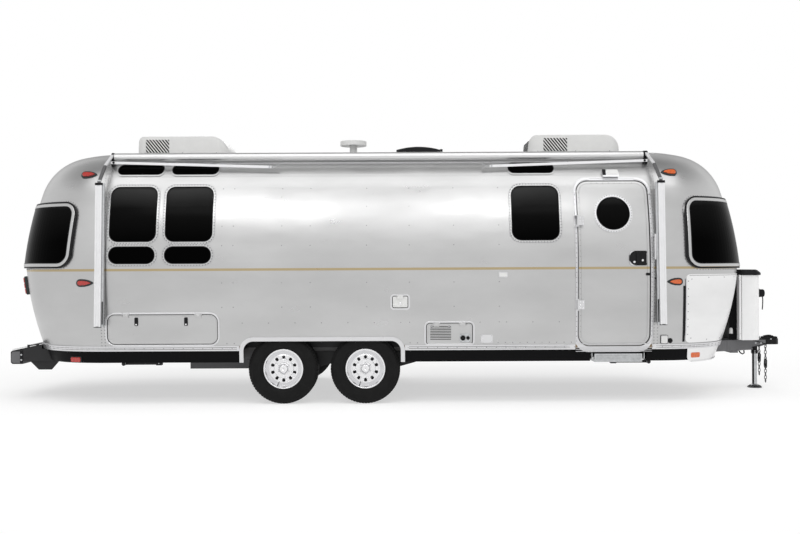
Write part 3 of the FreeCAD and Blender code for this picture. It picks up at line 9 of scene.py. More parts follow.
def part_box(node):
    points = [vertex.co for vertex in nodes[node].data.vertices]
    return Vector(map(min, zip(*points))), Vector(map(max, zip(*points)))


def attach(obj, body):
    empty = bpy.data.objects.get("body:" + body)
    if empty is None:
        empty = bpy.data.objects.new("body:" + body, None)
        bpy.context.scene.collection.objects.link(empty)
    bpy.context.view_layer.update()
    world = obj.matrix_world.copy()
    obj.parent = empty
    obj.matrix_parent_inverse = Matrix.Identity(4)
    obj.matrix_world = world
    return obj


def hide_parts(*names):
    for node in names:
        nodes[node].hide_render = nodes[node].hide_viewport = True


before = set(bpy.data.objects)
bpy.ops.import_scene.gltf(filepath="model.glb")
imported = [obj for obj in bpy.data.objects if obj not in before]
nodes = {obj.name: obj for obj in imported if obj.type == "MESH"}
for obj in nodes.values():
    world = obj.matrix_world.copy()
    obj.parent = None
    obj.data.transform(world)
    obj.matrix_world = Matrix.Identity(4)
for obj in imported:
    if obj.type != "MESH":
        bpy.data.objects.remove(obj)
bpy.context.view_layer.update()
scene = bpy.context.scene

# ------------------------------------------------------------------ the body's main lines, in metres
REAR_SEAM, FRONT_SEAM = -3.105, 2.55
STRIPE_Z = (1.373, 1.398)
STRIPE_TONE = (0.44, 0.355, 0.215)
# a noise's usual low and high level, and the depth of a fine grain
MOTTLE_LOW, MOTTLE_HIGH = 0.3, 0.7
FINE_BUMP = 0.001


# ------------------------------------------------------------------ finishes
def material(name):
    """A new material, a helper that adds a wired node to it, and one that sets its shader's inputs."""
    mat = bpy.data.materials.new(name)
    mat.use_nodes = True
    tree = mat.node_tree

    def fill(node, inputs):
        for socket, value in dict(inputs).items():
            if isinstance(value, bpy.types.NodeSocket):
                tree.links.new(value, node.inputs[socket])
            else:
                node.inputs[socket].default_value = value
        return node

    def add(kind, inputs=(), **settings):
        node = tree.nodes.new("ShaderNode" + kind)
        for key, value in settings.items():
            setattr(node, key, value)
        return fill(node, inputs)

    return mat, add, lambda inputs: fill(tree.nodes["Principled BSDF"], inputs)


def place(add, scale=(1, 1, 1)):
    """Object coordinates, stretched."""
    coords = add("TexCoord").outputs["Object"]
    return add("Mapping", {"Vector": coords, "Scale": scale}).outputs["Vector"]


def height_of(add):
    return add("SeparateXYZ", {"Vector": add("TexCoord").outputs["Object"]}).outputs["Z"]


def noise(add, scale, detail, roughness=0.5, stretch=(1, 1, 1)):
    """A noise's level on Object coordinates."""
    return add("TexNoise", {"Vector": place(add, stretch), "Scale": scale, "Detail": detail,
                            "Roughness": roughness}).outputs["Fac"]


def maths(add, operation, *values):
    return add("Math", dict(enumerate(values)), operation=operation).outputs[0]


def spread_over(add, value, low, high, start=MOTTLE_LOW, end=MOTTLE_HIGH):
    """A level from start to end taken to the range from low to high."""
    return add("MapRange", {"Value": value, "From Min": start, "From Max": end, "To Min": low,
                            "To Max": high}).outputs["Result"]


def bumps(add, height, strength, distance=FINE_BUMP):
    return add("Bump", {"Height": height, "Strength": strength, "Distance": distance}).outputs["Normal"]


def ramp(add, factor, stops):
    """A colour ramp from (place, grey or colour) stops."""
    node = add("ValToRGB", {"Fac": factor})
    elements = node.color_ramp.elements
    while len(elements) < len(stops):
        elements.new(0.5)
    for element, (at, colour) in zip(elements, stops):
        element.position = at
        grey = not hasattr(colour, "__len__")
        element.color = (colour, colour, colour, 1) if grey else (*colour, 1)
    return node.outputs["Color"]


def plain(name, colour, roughness, metallic=0.0, mottle=0.06, scale=9.0, bump=0.0, coat=0.0, gloss=0.5):
    """Paint, plastic, rubber or metal with a faint mottle in its colour and shine."""
    mat, add, dress = material(name)
    level = noise(add, scale, 6.0, 0.6)
    low = [c * (1 - mottle) for c in colour]
    high = [min(1.0, c * (1 + mottle)) for c in colour]
    dress({"Base Color": ramp(add, level, [(MOTTLE_LOW, low), (MOTTLE_HIGH, high)]),
           "Roughness": spread_over(add, level, max(0.02, roughness - 0.06), roughness + 0.06),
           "Metallic": metallic, "Coat Weight": coat, "Specular IOR Level": gloss})
    if bump:
        dress({"Normal": bumps(add, noise(add, 240.0, 3.0), bump)})
    return mat


def skin_metal(name, tone, stripe=False):
    """Satin aluminium sheet: cloudy polish, soft oil-canning between the rivets, and the belt stripe."""
    mat, add, dress = material(name)
    clouds = noise(add, 1.7, 4.0, 0.55, (0.55, 0.55, 1.5))
    colour = ramp(add, clouds, [(0.32, tone * 0.93), (0.68, tone * 1.04)])
    if stripe:
        z = height_of(add)
        inside = maths(add, "MULTIPLY", maths(add, "GREATER_THAN", z, STRIPE_Z[0]),
                       maths(add, "LESS_THAN", z, STRIPE_Z[1]))
        colour = add("Mix", {"Factor": inside, 6: colour, 7: (*STRIPE_TONE, 1)}, data_type="RGBA").outputs[2]
    dress({"Base Color": colour, "Metallic": 1.0,
           "Roughness": spread_over(add, noise(add, 3.0, 5.0, 0.5, (1, 1, 3)), 0.27, 0.36),
           "Normal": bumps(add, noise(add, 2.4, 1.0, 0.5, (0.8, 0.8, 1.1)), 0.35, 0.02)})
    return mat


def window_pane(name):
    """Dark tinted glass, nearly black, with a painted reflection that makes it a little greyer towards its top."""
    mat, add, dress = material(name)
    reflection_height = maths(add, "MULTIPLY_ADD", noise(add, 2.0, 2.0), 0.10, height_of(add))
    height = spread_over(add, reflection_height, 0.0, 1.0, 1.45, 2.36)
    # painted reflection: the tones rise from near black low down to grey near the top, while the real reflection is
    # kept faint
    tones = [(0.30, 0.0005), (0.68, 0.005), (0.90, 0.040), (0.96, 0.026), (1.0, 0.001)]
    dress({"Base Color": ramp(add, height, tones), "Roughness": 0.12, "Specular IOR Level": 0.014})
    return mat


def tyre_rubber():
    mat, add, dress = material("tyre_rubber")
    tones = [(MOTTLE_LOW, 0.0045), (MOTTLE_HIGH, 0.0085)]
    dress({"Base Color": ramp(add, noise(add, 14.0, 8.0, 0.65), tones), "Roughness": 0.62,
           "Specular IOR Level": 0.15, "Normal": bumps(add, noise(add, 300.0, 2.0), 0.25)})
    return mat


finish = {
    "skin": skin_metal("satin_aluminium_sheet", 0.52, stripe=True),
    "guard": skin_metal("polished_guard_sheet", 0.84),
    "trim": plain("extruded_aluminium", (0.66, 0.66, 0.67), 0.32, 1.0, 0.02),
    "glass": window_pane("dark_tinted_glass"),
    "tyre": tyre_rubber(),
    "wheel": plain("polished_wheel_aluminium", (0.78, 0.78, 0.79), 0.16, 1.0, 0.03),
    "frame_paint": plain("black_chassis_paint", (0.016, 0.016, 0.017), 0.45, gloss=0.3),
    "pan_paint": plain("grey_belly_pan", (0.110, 0.110, 0.114), 0.5, gloss=0.2),
    "drawbar_paint": plain("grey_drawbar_paint", (0.150, 0.150, 0.155), 0.45, bump=0.1, gloss=0.2),
    "bumper_paint": plain("dark_bumper_paint", (0.022, 0.022, 0.023), 0.42, bump=0.1, gloss=0.25),
    "arm": plain("pale_anodised_aluminium", (0.78, 0.78, 0.79), 0.42, 0.35, 0.03),
    "cap_paint": plain("grey_bumper_cap", (0.150, 0.150, 0.155), 0.45, gloss=0.2),
    "chain": plain("dull_chain_steel", (0.150, 0.150, 0.153), 0.45, 0.8, 0.15, 60.0),
    "strut": plain("dark_anodised_strut", (0.105, 0.105, 0.108), 0.4, 0.3, 0.03),
    "galvanised": plain("galvanised_steel", (0.50, 0.51, 0.52), 0.38, 1.0, 0.12, 30.0),
    "black": plain("black_moulding", (0.009, 0.009, 0.010), 0.45, bump=0.15, gloss=0.16),
    "skirt": plain("black_skirt_sheet", (0.0030, 0.0030, 0.0034), 0.5, gloss=0.08),
    "dark_bezel": plain("dark_lamp_bezel", (0.030, 0.036, 0.036), 0.35, gloss=0.25),
    "white": plain("white_moulding", (0.74, 0.74, 0.73), 0.35, 0.0, 0.03, bump=0.1),
    "cover": plain("pale_gas_cover", (0.93, 0.93, 0.93), 0.32, 0.0, 0.02),
    "board": plain("floor_board", (0.30, 0.22, 0.14), 0.7, mottle=0.2, scale=20.0),
    "roller": plain("awning_roller", (0.66, 0.66, 0.66), 0.34, 1.0, 0.015),
    "red": plain("red_lens", (0.45, 0.025, 0.018), 0.15, mottle=0.3, scale=60.0, coat=0.6),
    "amber": plain("amber_lens", (0.68, 0.115, 0.012), 0.15, mottle=0.3, scale=60.0, coat=0.6),
    "chrome": plain("bright_chrome", (0.80, 0.80, 0.81), 0.08, 1.0, 0.02),
    "rivet": plain("rivet_heads", (0.36, 0.36, 0.37), 0.24, 1.0, 0.1),
}

# which finish each solid of the frame wears
WEARS = {
    "skin": ["side_wall_kerb", "side_wall_road", "roof", "rear_end", "front_end", "entry_door",
             "luggage_hatch_kerb", "luggage_hatch_road", "service_hatch", "window_frames"],
    "guard": ["front_guards"],
    "trim": ["door_fittings", "door_and_hatch_frames", "rub_rail", "arch_trims", "awning_arms",
             "bumper_lid", "wall_fittings", "grab_handle"],
    "glass": ["window_glass", "door_window"],
    "pan_paint": ["belly_pan"],
    "frame_paint": ["axles", "wheel_boxes", "stabiliser_brackets", "stabiliser_rear_kerb",
                    "stabiliser_rear_road", "stabiliser_front_kerb", "stabiliser_front_road"],
    "drawbar_paint": ["chassis_frame"],
    "bumper_paint": ["rear_bumper"],
    "galvanised": ["jack_leg", "safety_chains", "step_bracket", "step_arms", "step_tread"],
    "black": ["coupler", "jack_tube", "gas_cover_lid", "vent_lid", "gas_cover_back"],
    "skirt": ["skirt"],
    "white": ["filler_hatch", "air_conditioners", "roof_fittings"],
    "cover": ["gas_cover"],
    "board": ["floor"],
    "roller": ["awning_tube"],
    "red": ["red_lamps"],
    "amber": ["amber_lamps"],
}
for part in ("wheel", "tyre"):
    WEARS[part] = [f"{part}_{end}_{side}" for end in ("rear", "front") for side in ("kerb", "road")]
for key, names in WEARS.items():
    for name in names:
        for slot in nodes[name].material_slots:
            slot.material = finish[key]


# ------------------------------------------------------------------ making pieces
# how far off rays start, and how near the middle nothing counts as a side
FAR_OFF = 3.0
INSIDE_Y = 0.7


def piece(name, mesh, finish_key, body="body", stands_for=()):
    """A finished mesh as a piece that rides on a body."""
    obj = bpy.data.objects.new(name, mesh)
    scene.collection.objects.link(obj)
    if finish_key:
        mesh.materials.clear()
        mesh.materials.append(finish[finish_key])
    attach(obj, body)
    if stands_for:
        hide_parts(*stands_for)
    return obj


def from_bmesh(name, work, smooth=False):
    """A mesh from finished bmesh work, its faces turned outwards."""
    bmesh.ops.recalc_face_normals(work, faces=work.faces)
    mesh = bpy.data.meshes.new(name)
    work.to_mesh(mesh)
    work.free()
    for face in mesh.polygons:
        face.use_smooth = smooth
    return mesh


def seen_from(tree, x, z, side):
    """Where a tree is first met from one side, with the way outwards, or None."""
    hit, out = tree.ray_cast(Vector((x, side * FAR_OFF, z)), Vector((0, -side, 0)))[:2]
    return (hit, out if out.y * side > 0 else -out) if hit else None


def tree_of(names):
    """A ray-cast tree over the solids of some nodes."""
    corners, faces = [], []
    for name in names:
        base = len(corners)
        corners += [v.co.copy() for v in nodes[name].data.vertices]
        faces += [[base + i for i in f.vertices] for f in nodes[name].data.polygons]
    return BVHTree.FromPolygons(corners, faces)


SKIN_NODES = ["side_wall_kerb", "side_wall_road", "roof", "rear_end", "front_end", "entry_door", "door_window",
              "luggage_hatch_kerb", "luggage_hatch_road", "service_hatch", "filler_hatch", "window_glass"]
skin = tree_of(SKIN_NODES)
SIDES = {"kerb": -1, "road": 1}


def cast(start, way):
    """The first place on the skin along a ray, and the way outwards there."""
    place_hit, normal = skin.ray_cast(Vector(start), Vector(way))[:2]
    if place_hit is None:
        return None
    return place_hit, (-normal if normal.dot(Vector(way)) > 0 else normal)


def on_side(x, z, side):
    """A place on a side wall, or None where a ray would go through a joint to the far wall."""
    found = cast((x, side * FAR_OFF, z), (0, -side, 0))
    return found if found and found[0].y * side > INSIDE_Y else None


def outline(x, z, radius, pitch):
    """Points at an even pitch round a rectangle with round corners, as (x, z) pairs."""
    corners = [(x[1] - radius, z[0] + radius, -90), (x[1] - radius, z[1] - radius, 0),
               (x[0] + radius, z[1] - radius, 90), (x[0] + radius, z[0] + radius, 180)]
    line = []
    for cx, cz, start in corners:
        for turn in range(0, 91, 10):
            a = math.radians(start + turn)
            line.append(Vector((cx + radius * math.cos(a), cz + radius * math.sin(a))))
    line.append(line[0])
    return spaced(line, pitch, True)


def spaced(line, pitch, closed=False):
    """Points at an even pitch along a line of corners."""
    lengths = [(b - a).length for a, b in zip(line, line[1:])]
    total = sum(lengths)
    count = max(1, round(total / pitch))
    found, travelled, i = [], 0.0, 0
    for n in range(count + (0 if closed else 1)):
        goal = total * n / count
        while i < len(lengths) - 1 and travelled + lengths[i] < goal:
            travelled += lengths[i]
            i += 1
        part = (goal - travelled) / lengths[i] if lengths[i] else 0.0
        found.append(line[i].lerp(line[i + 1], min(1.0, part)))
    return found


def around_axis(count):
    """Cosine and sine of even turns."""
    return [(math.cos(math.tau * k / count), math.sin(math.tau * k / count)) for k in range(count)]


def walls(work, rings, closed=False):
    """Faces between loops of as many corners, one after another, and back to the first when closed."""
    for a, b in zip(rings, rings[1:] + (rings[:1] if closed else [])):
        for k in range(len(a)):
            after = (k + 1) % len(a)
            work.faces.new((a[k], a[after], b[after], b[k]))


def ends(work, rings):
    work.faces.new(rings[0])
    work.faces.new(rings[-1])


def ribbon(work, path, profile, closed=True):
    """Sweeps a profile of (across, out) pairs along a path of (place, way outwards) pairs."""
    rings = []
    count = len(path)
    for i, (here, out) in enumerate(path):
        before = path[i - 1][0] if closed or i else here
        after = path[(i + 1) % count][0] if closed or i < count - 1 else here
        along = (after - before).normalized()
        across = along.cross(out).normalized()
        up = across.cross(along).normalized()
        rings.append([work.verts.new(here + across * a + up * b) for a, b in profile])
    walls(work, rings, closed)
    if not closed:
        work.faces.new(rings[0])
        work.faces.new(list(reversed(rings[-1])))


def flat_profile(width, low, high):
    """A strip's profile: a flat with softened edges."""
    half, soft = width / 2, min(0.002, (high - low) / 2)
    return [(-half, low), (-half, high - soft), (-half + soft, high), (half - soft, high), (half, high - soft),
            (half, low)]


def square_profile(width, low, high):
    """A strip's profile with sharp edges."""
    half = width / 2
    return [(-half, low), (-half, high), (half, high), (half, low)]


def bead_profile(width, flat, shoulder, high, low=0.0):
    """A strip's profile that is flat on top and slopes to shoulders at its edges."""
    half, flat = width / 2, flat / 2
    return [(-half, low), (-half, shoulder), (-flat, high), (flat, high), (half, shoulder), (half, low)]


def new_works(count):
    return [bmesh.new() for n in range(count)]


# ------------------------------------------------------------------ rivets, laid out with geometry nodes
# a head's height, its sides, and its crown's share of its radius
RIVET_HEIGHT, RIVET_SIDES, CROWN_SHARE = 0.0032, 8, 0.55


def layout(name, inputs, made):
    """A new tree with named inputs that spreads copies over points, its given sockets and the spreader's."""
    tree = bpy.data.node_groups.new(name, "GeometryNodeTree")
    for socket, kind in (*inputs, ("Finish", "Material")):
        tree.interface.new_socket(socket, in_out="INPUT", socket_type="NodeSocket" + kind)
    tree.interface.new_socket(made, in_out="OUTPUT", socket_type="NodeSocketGeometry")
    add = tree.nodes.new
    given, result = add("NodeGroupInput"), add("NodeGroupOutput")
    spread, real, wear = (add("GeometryNode" + kind) for kind in ("InstanceOnPoints", "RealizeInstances",
                                                                  "SetMaterial"))
    wire(tree, (spread.outputs["Instances"], real.inputs["Geometry"]),
         (real.outputs["Geometry"], wear.inputs["Geometry"]), (given.outputs["Finish"], wear.inputs["Material"]),
         (wear.outputs["Geometry"], result.inputs[made]))
    return tree, given.outputs, spread.inputs


def wire(tree, *links):
    for start, end in links:
        tree.links.new(start, end)


def rivet_layout():
    """Places a low, round-edged head on every point, turned to the point's own way outwards."""
    tree, given, spread = layout("rivet_layout", (("Points", "Geometry"), ("Head radius", "Float"),
                                                  ("Head height", "Float"), ("Head sides", "Int")), "Rivets")
    head = tree.nodes.new("GeometryNodeMeshCone")
    crown_radius = tree.nodes.new("ShaderNodeMath")
    crown_radius.operation = "MULTIPLY"
    crown_radius.inputs[1].default_value = CROWN_SHARE
    outwards = tree.nodes.new("GeometryNodeInputNamedAttribute")
    outwards.data_type = "FLOAT_VECTOR"
    outwards.inputs["Name"].default_value = "outwards"
    turn = tree.nodes.new("FunctionNodeAlignRotationToVector")
    wire(tree, (given["Head radius"], head.inputs["Radius Bottom"]), (given["Head radius"], crown_radius.inputs[0]),
         (crown_radius.outputs[0], head.inputs["Radius Top"]), (given["Head height"], head.inputs["Depth"]),
         (given["Head sides"], head.inputs["Vertices"]), (outwards.outputs["Attribute"], turn.inputs["Vector"]),
         (given["Points"], spread["Points"]), (head.outputs["Mesh"], spread["Instance"]),
         (turn.outputs["Rotation"], spread["Rotation"]))
    return tree


def laid_out(name, tree, start_mesh, settings):
    """The plain mesh that a geometry-nodes tree makes from a starting mesh."""
    maker = bpy.data.objects.new(name + "_maker", start_mesh)
    scene.collection.objects.link(maker)
    modifier = maker.modifiers.new("layout", "NODES")
    modifier.node_group = tree
    for socket in tree.interface.items_tree:
        if socket.item_type == "SOCKET" and socket.in_out == "INPUT" and socket.name in settings:
            modifier[socket.identifier] = settings[socket.name]
    bpy.context.view_layer.update()
    mesh = bpy.data.meshes.new_from_object(maker.evaluated_get(bpy.context.evaluated_depsgraph_get()))
    maker.modifiers.remove(modifier)
    bpy.data.objects.remove(maker)
    mesh.name = name
    return mesh


def points_mesh(name, places):
    """A mesh of loose points that know their way outwards."""
    mesh = bpy.data.meshes.new(name)
    mesh.from_pydata([p for p, out in places], [], [])
    ways = mesh.attributes.new("outwards", "FLOAT_VECTOR", "POINT")
    for i, (p, out) in enumerate(places):
        ways.data[i].vector = out
    return mesh


RIVETS = rivet_layout()


def rivets(name, places, body="body", radius=0.0055):
    places = [p for p in places if p]
    mesh = laid_out(name, RIVETS, points_mesh(name + "_points", places),
                    {"Head radius": radius, "Head height": RIVET_HEIGHT, "Head sides": RIVET_SIDES,
                     "Finish": finish["rivet"]})
    return piece(name, mesh, None, body)


# ------------------------------------------------------------------ windows, seams and rivet lines of the body
# sides, x low and high, z low and high, corner radius
BOTH = ("kerb", "road")
SIDE_WINDOWS = [
    (BOTH, (-3.050, -2.576), (1.675, 2.240), 0.085), (BOTH, (-2.478, -1.999), (1.675, 2.240), 0.085),
    (BOTH, (-3.052, -2.585), (1.450, 1.622), 0.082), (BOTH, (-2.482, -2.010), (1.450, 1.622), 0.082),
    (BOTH, (1.068, 1.551), (1.673, 2.234), 0.095), (("road",), (-0.760, 0.060), (1.760, 2.234), 0.085),
]
ROOF_LIGHTS = [(-3.020, -2.543), (-2.454, -1.971), (1.054, 1.529)]
ROOF_LIGHT_Z, ROOF_LIGHT_CORNER = (2.376, 2.492), 0.055
WINDOW_PITCH, RIVET_PITCH = 0.02, 0.030
LAP_PROUD = 0.0016
RIB_X = (-1.900, -1.784, -1.288, -0.997, -0.421, 0.015, 0.470, 0.932)
STRINGER_Z = (2.220, 2.030, 1.830, 1.630, 1.250, 1.000)
# the height over which the sides turn into the roof, and the two close rivet rows
SHOULDER_Z = 2.42
HEM_ROW_Z, LOW_ROW_Z = 0.628, 0.838
DOOR_X, DOOR_Z = (1.743, 2.467), (0.592, 2.283)


def around(x, z, radius, side, grow, pitch, lean=0.0):
    """Places on a side round an outline, moved outwards by grow; the sheet is read that far inwards by lean."""
    found = []
    for px, pz in outline((x[0] - grow, x[1] + grow), (z[0] - grow, z[1] + grow), radius + grow, pitch):
        inwards = Vector((min(max(px, x[0] + radius), x[1] - radius) - px,
                          min(max(pz, z[0] + radius), z[1] - radius) - pz)).normalized() * lean
        hit = on_side(px + inwards.x, pz + inwards.y, side)
        if hit:
            found.append((Vector((px, hit[0].y, pz)), hit[1]))
    return found


def lifted(places, by):
    return [(p + out * by, out) for p, out in places]


def window_details():
    seals, edges = bmesh.new(), bmesh.new()
    dots = []
    seal_profile = flat_profile(0.008, -0.004, 0.0075)
    for sides, x, z, r in SIDE_WINDOWS:
        for side in (SIDES[name] for name in sides):
            ribbon(seals, around(x, z, r, side, 0.001, WINDOW_PITCH), seal_profile)
            ribbon(edges, around(x, z, r, side, 0.0285, WINDOW_PITCH), flat_profile(0.005, -0.001, 0.0045))
            dots += lifted(around(x, z, r, side, 0.0185, RIVET_PITCH), 0.006)
    for x in ROOF_LIGHTS:
        for side in (-1, 1):
            ribbon(seals, around(x, ROOF_LIGHT_Z, ROOF_LIGHT_CORNER, side, 0.001, WINDOW_PITCH), seal_profile)
    piece("window_seals", from_bmesh("window_seals", seals), "black")
    piece("window_edges", from_bmesh("window_edges", edges), "trim")
    rivets("window_rivets", dots, radius=0.0062)


def seam_path(x, z_low):
    """Places round the section at one x, from hem to hem over the roof."""
    found = [on_side(x, z_low + (SHOULDER_Z - z_low) * n / 40, -1) for n in range(41)]
    found += [cast((x, -1.0 + 2.0 * n / 24, 4.0), (0, 0, -1)) for n in range(25)]
    found += [on_side(x, SHOULDER_Z - (SHOULDER_Z - z_low) * n / 40, 1) for n in range(41)]
    return [f for f in found if f]


def seam_details():
    """The laps where the ends meet the straight walls, and their double rows of rivets."""
    dots = []
    laps = bmesh.new()
    for x in (REAR_SEAM - 0.012, FRONT_SEAM - 0.018):
        path = seam_path(x, 0.612)
        ribbon(laps, path, flat_profile(0.050, -0.002, LAP_PROUD), closed=False)
        for point in spaced([p for p, out in path], 0.032):
            out = min(path, key=lambda place_out: (place_out[0] - point).length)[1]
            dots += [(point + Vector((across, 0, 0)) + out * LAP_PROUD, out) for across in (-0.017, 0.017)]
    piece("end_laps", from_bmesh("end_laps", laps), "skin")
    return dots


def wall_rivets():
    """Single rivets where the ribs cross the stringers, and the close rows over the rub rail."""
    dots = []
    for side in (-1, 1):
        blocked = [(x[0] - 0.06, x[1] + 0.06, z[0] - 0.06, z[1] + 0.06) for sides, x, z, r in SIDE_WINDOWS
                   if side in [SIDES[name] for name in sides]]
        blocked.append((-3.10, -1.93, 0.58, 0.98))
        if side < 0:
            blocked += [(DOOR_X[0] - 0.05, DOOR_X[1] + 0.05, 0.5, 2.36), (0.15, 0.70, 0.58, 0.86),
                        (-0.20, 0.04, 0.95, 1.14)]

        def free(x, z):
            return not any(a < x < b and c < z < d for a, b, c, d in blocked)

        dots += [on_side(x, z, side) for x in RIB_X for z in STRINGER_Z + ((0.84,) if x > 0 else ()) if free(x, z)]
        # the hem row stops at the wheels, and the sparse row over it stands forward of the rear windows
        for n in range(int((FRONT_SEAM - REAR_SEAM) / 0.075)):
            x = REAR_SEAM + 0.05 + n * 0.075
            if not (-1.76 < x < 0.0) and free(x, 0.63):
                dots.append(on_side(x, HEM_ROW_Z, side))
        for n in range(0, int((FRONT_SEAM - REAR_SEAM) / 0.09), 3):
            x = REAR_SEAM + 0.06 + n * 0.09
            if x > -1.9 and free(x, 0.84):
                dots.append(on_side(x, LOW_ROW_Z, side))
    return dots


# ------------------------------------------------------------------ wheels and tyres
TYRE_RADIUS, TRACK_Y = 0.3595, 1.090
WHEEL_X = {"rear": -1.286, "front": -0.441}
TREAD_SEGMENTS = 72
GROOVE_DEPTH = 0.0075
# half of the tyre's section and the wheel's turned fittings, as (radius, distance from the middle) pairs
SIDEWALL = [(0.1905, 0.0730), (0.2055, 0.0770), (0.2170, 0.0925), (0.2350, 0.1025), (0.2380, 0.1045),
            (0.2410, 0.1042), (0.2640, 0.1092), (0.2850, 0.1108), (0.2980, 0.1110), (0.3010, 0.1096),
            (0.3040, 0.1104), (0.3200, 0.1075), (0.3330, 0.1015), (0.3420, 0.0930), (0.3480, 0.0830),
            (0.3510, 0.0720)]
DRUM_FACE = [(0.061, 0.006), (0.061, 0.010), (0.160, 0.010), (0.160, 0.006)]
HUB_CAP = [(0.0005, 0.0780), (0.0300, 0.0790), (0.0365, 0.0775), (0.0405, 0.0720), (0.0425, 0.0660),
           (0.0425, 0.0400), (0.0620, 0.0400), (0.0640, 0.0375), (0.0640, 0.0330), (0.0005, 0.0330)]
RIM_LIP = [(0.2030, 0.0770), (0.2052, 0.0800), (0.2050, 0.0828), (0.2020, 0.0838), (0.1980, 0.0832),
           (0.1950, 0.0805), (0.1950, 0.0770)]
HOLE_RIM = [(0.0185, 0.0400), (0.0185, 0.0492), (0.0215, 0.0500), (0.0235, 0.0470), (0.0235, 0.0400)]
# a nut's washer, hexagon and tip, as (low, high, radius)
NUT_STEPS = ((0.0415, 0.0440, 0.0135), (0.0440, 0.0600, 0.0105), (0.0600, 0.0640, 0.0070))
HOLE_TURN, VALVE_TILT, VALVE_TURN = 18, -80, 200
# radii of the circles that the wheel nuts and the wheel's round holes stand on
NUT_CIRCLE, HOLE_CIRCLE = 0.083, 0.118


def ring_layout():
    """Repeats a segment round the Y axis."""
    tree, given, spread = layout("ring_layout", (("Segment", "Geometry"), ("Segments around", "Int")), "Ring")
    points, index, share, angle, turn = (tree.nodes.new(kind) for kind in (
        "GeometryNodePoints", "GeometryNodeInputIndex", "ShaderNodeMath", "ShaderNodeMath", "ShaderNodeCombineXYZ"))
    share.operation, angle.operation = "DIVIDE", "MULTIPLY"
    angle.inputs[1].default_value = math.tau
    wire(tree, (given["Segments around"], points.inputs["Count"]), (index.outputs[0], share.inputs[0]),
         (given["Segments around"], share.inputs[1]), (share.outputs[0], angle.inputs[0]),
         (angle.outputs[0], turn.inputs["Y"]), (points.outputs[0], spread["Points"]),
         (given["Segment"], spread["Instance"]), (turn.outputs[0], spread["Rotation"]))
    return tree


RING = ring_layout()


def ring_of(name, segment, count, finish_key):
    return laid_out(name, RING, segment, {"Segments around": count, "Finish": finish[finish_key]})


def revolved(work, profile, steps=96):
    """A ring round the Y axis from a closed profile of (radius, y) pairs."""
    walls(work, [[work.verts.new((r * across, y, r * up)) for r, y in profile]
                 for up, across in around_axis(steps)], True)


def block(work, low, high, taper=0.0):
    """A box whose +Z end is narrower by the taper."""
    corners = []
    for z, shrink in ((low[2], 0.0), (high[2], taper)):
        for x, y in ((low[0] + shrink, low[1] + shrink), (high[0] - shrink, low[1] + shrink),
                     (high[0] - shrink, high[1] - shrink), (low[0] + shrink, high[1] - shrink)):
            corners.append(work.verts.new((x, y, z)))
    for face in ((3, 2, 1, 0), (4, 5, 6, 7), (0, 1, 5, 4), (1, 2, 6, 5), (2, 3, 7, 6), (3, 0, 4, 7)):
        work.faces.new([corners[i] for i in face])


def tyre_mesh():
    """A trailer tyre: rounded casing with moulded rings, and a ribbed tread cut into blocks."""
    floor = TYRE_RADIUS - GROOVE_DEPTH
    half = SIDEWALL + [(floor, 0.0600), (floor + 0.001, 0.0300)]
    profile = half + [(r, -y) for r, y in reversed(half)] + [(0.1855, -0.0500), (0.1855, 0.0500)]
    casing = turned("tyre_casing", profile, "tyre", steps=96)
    tread = bmesh.new()
    pitch = math.tau * TYRE_RADIUS / TREAD_SEGMENTS
    base = floor - 0.004
    top = TYRE_RADIUS - 0.0006
    for y, width, shift in ((-0.056, 0.024, 0.0), (-0.028, 0.022, 0.5), (0.0, 0.022, 0.0), (0.028, 0.022, 0.5),
                            (0.056, 0.024, 0.0)):
        x = (shift - 0.25) * pitch * 0.5
        block(tread, (x - pitch * 0.42, y - width / 2, base), (x + pitch * 0.42, y + width / 2, top), 0.0012)
    for side in (-1, 1):
        inner, outer = sorted((side * 0.071, side * 0.0955))
        block(tread, (-pitch * 0.40, inner, base - 0.012), (pitch * 0.40, outer, 0.3545), 0.0045)
    tread_mesh = from_bmesh("tread_segment", tread)
    return casing, ring_of("tread", tread_mesh, TREAD_SEGMENTS, "tyre")


def put(mesh, x, y, z, mirrored=False):
    """A copy of a mesh moved to its place; mirrored puts its outer face to the kerb side."""
    copy = mesh.copy()
    if mirrored:
        copy.transform(Matrix.Scale(-1, 4, (0, 1, 0)))
        copy.flip_normals()
    copy.transform(Matrix.Translation((x, y, z)))
    return copy


def joined(name, meshes):
    """Several meshes as one, with their materials."""
    work = bmesh.new()
    found = []
    for mesh in meshes:
        start = len(work.faces)
        work.from_mesh(mesh)
        work.faces.ensure_lookup_table()
        for material_of_mesh in mesh.materials:
            if material_of_mesh not in found:
                found.append(material_of_mesh)
        for face in work.faces[start:]:
            face.material_index = found.index(mesh.materials[face.material_index]) if mesh.materials else 0
    mesh = bpy.data.meshes.new(name)
    work.to_mesh(mesh)
    work.free()
    for entry in found:
        mesh.materials.append(entry)
    return mesh


def turned(name, profile, finish_key, smooth=True, steps=48):
    """A ring round the Y axis as a mesh that wears a finish."""
    work = bmesh.new()
    revolved(work, profile, steps)
    mesh = from_bmesh(name, work, smooth)
    mesh.materials.append(finish[finish_key])
    return mesh


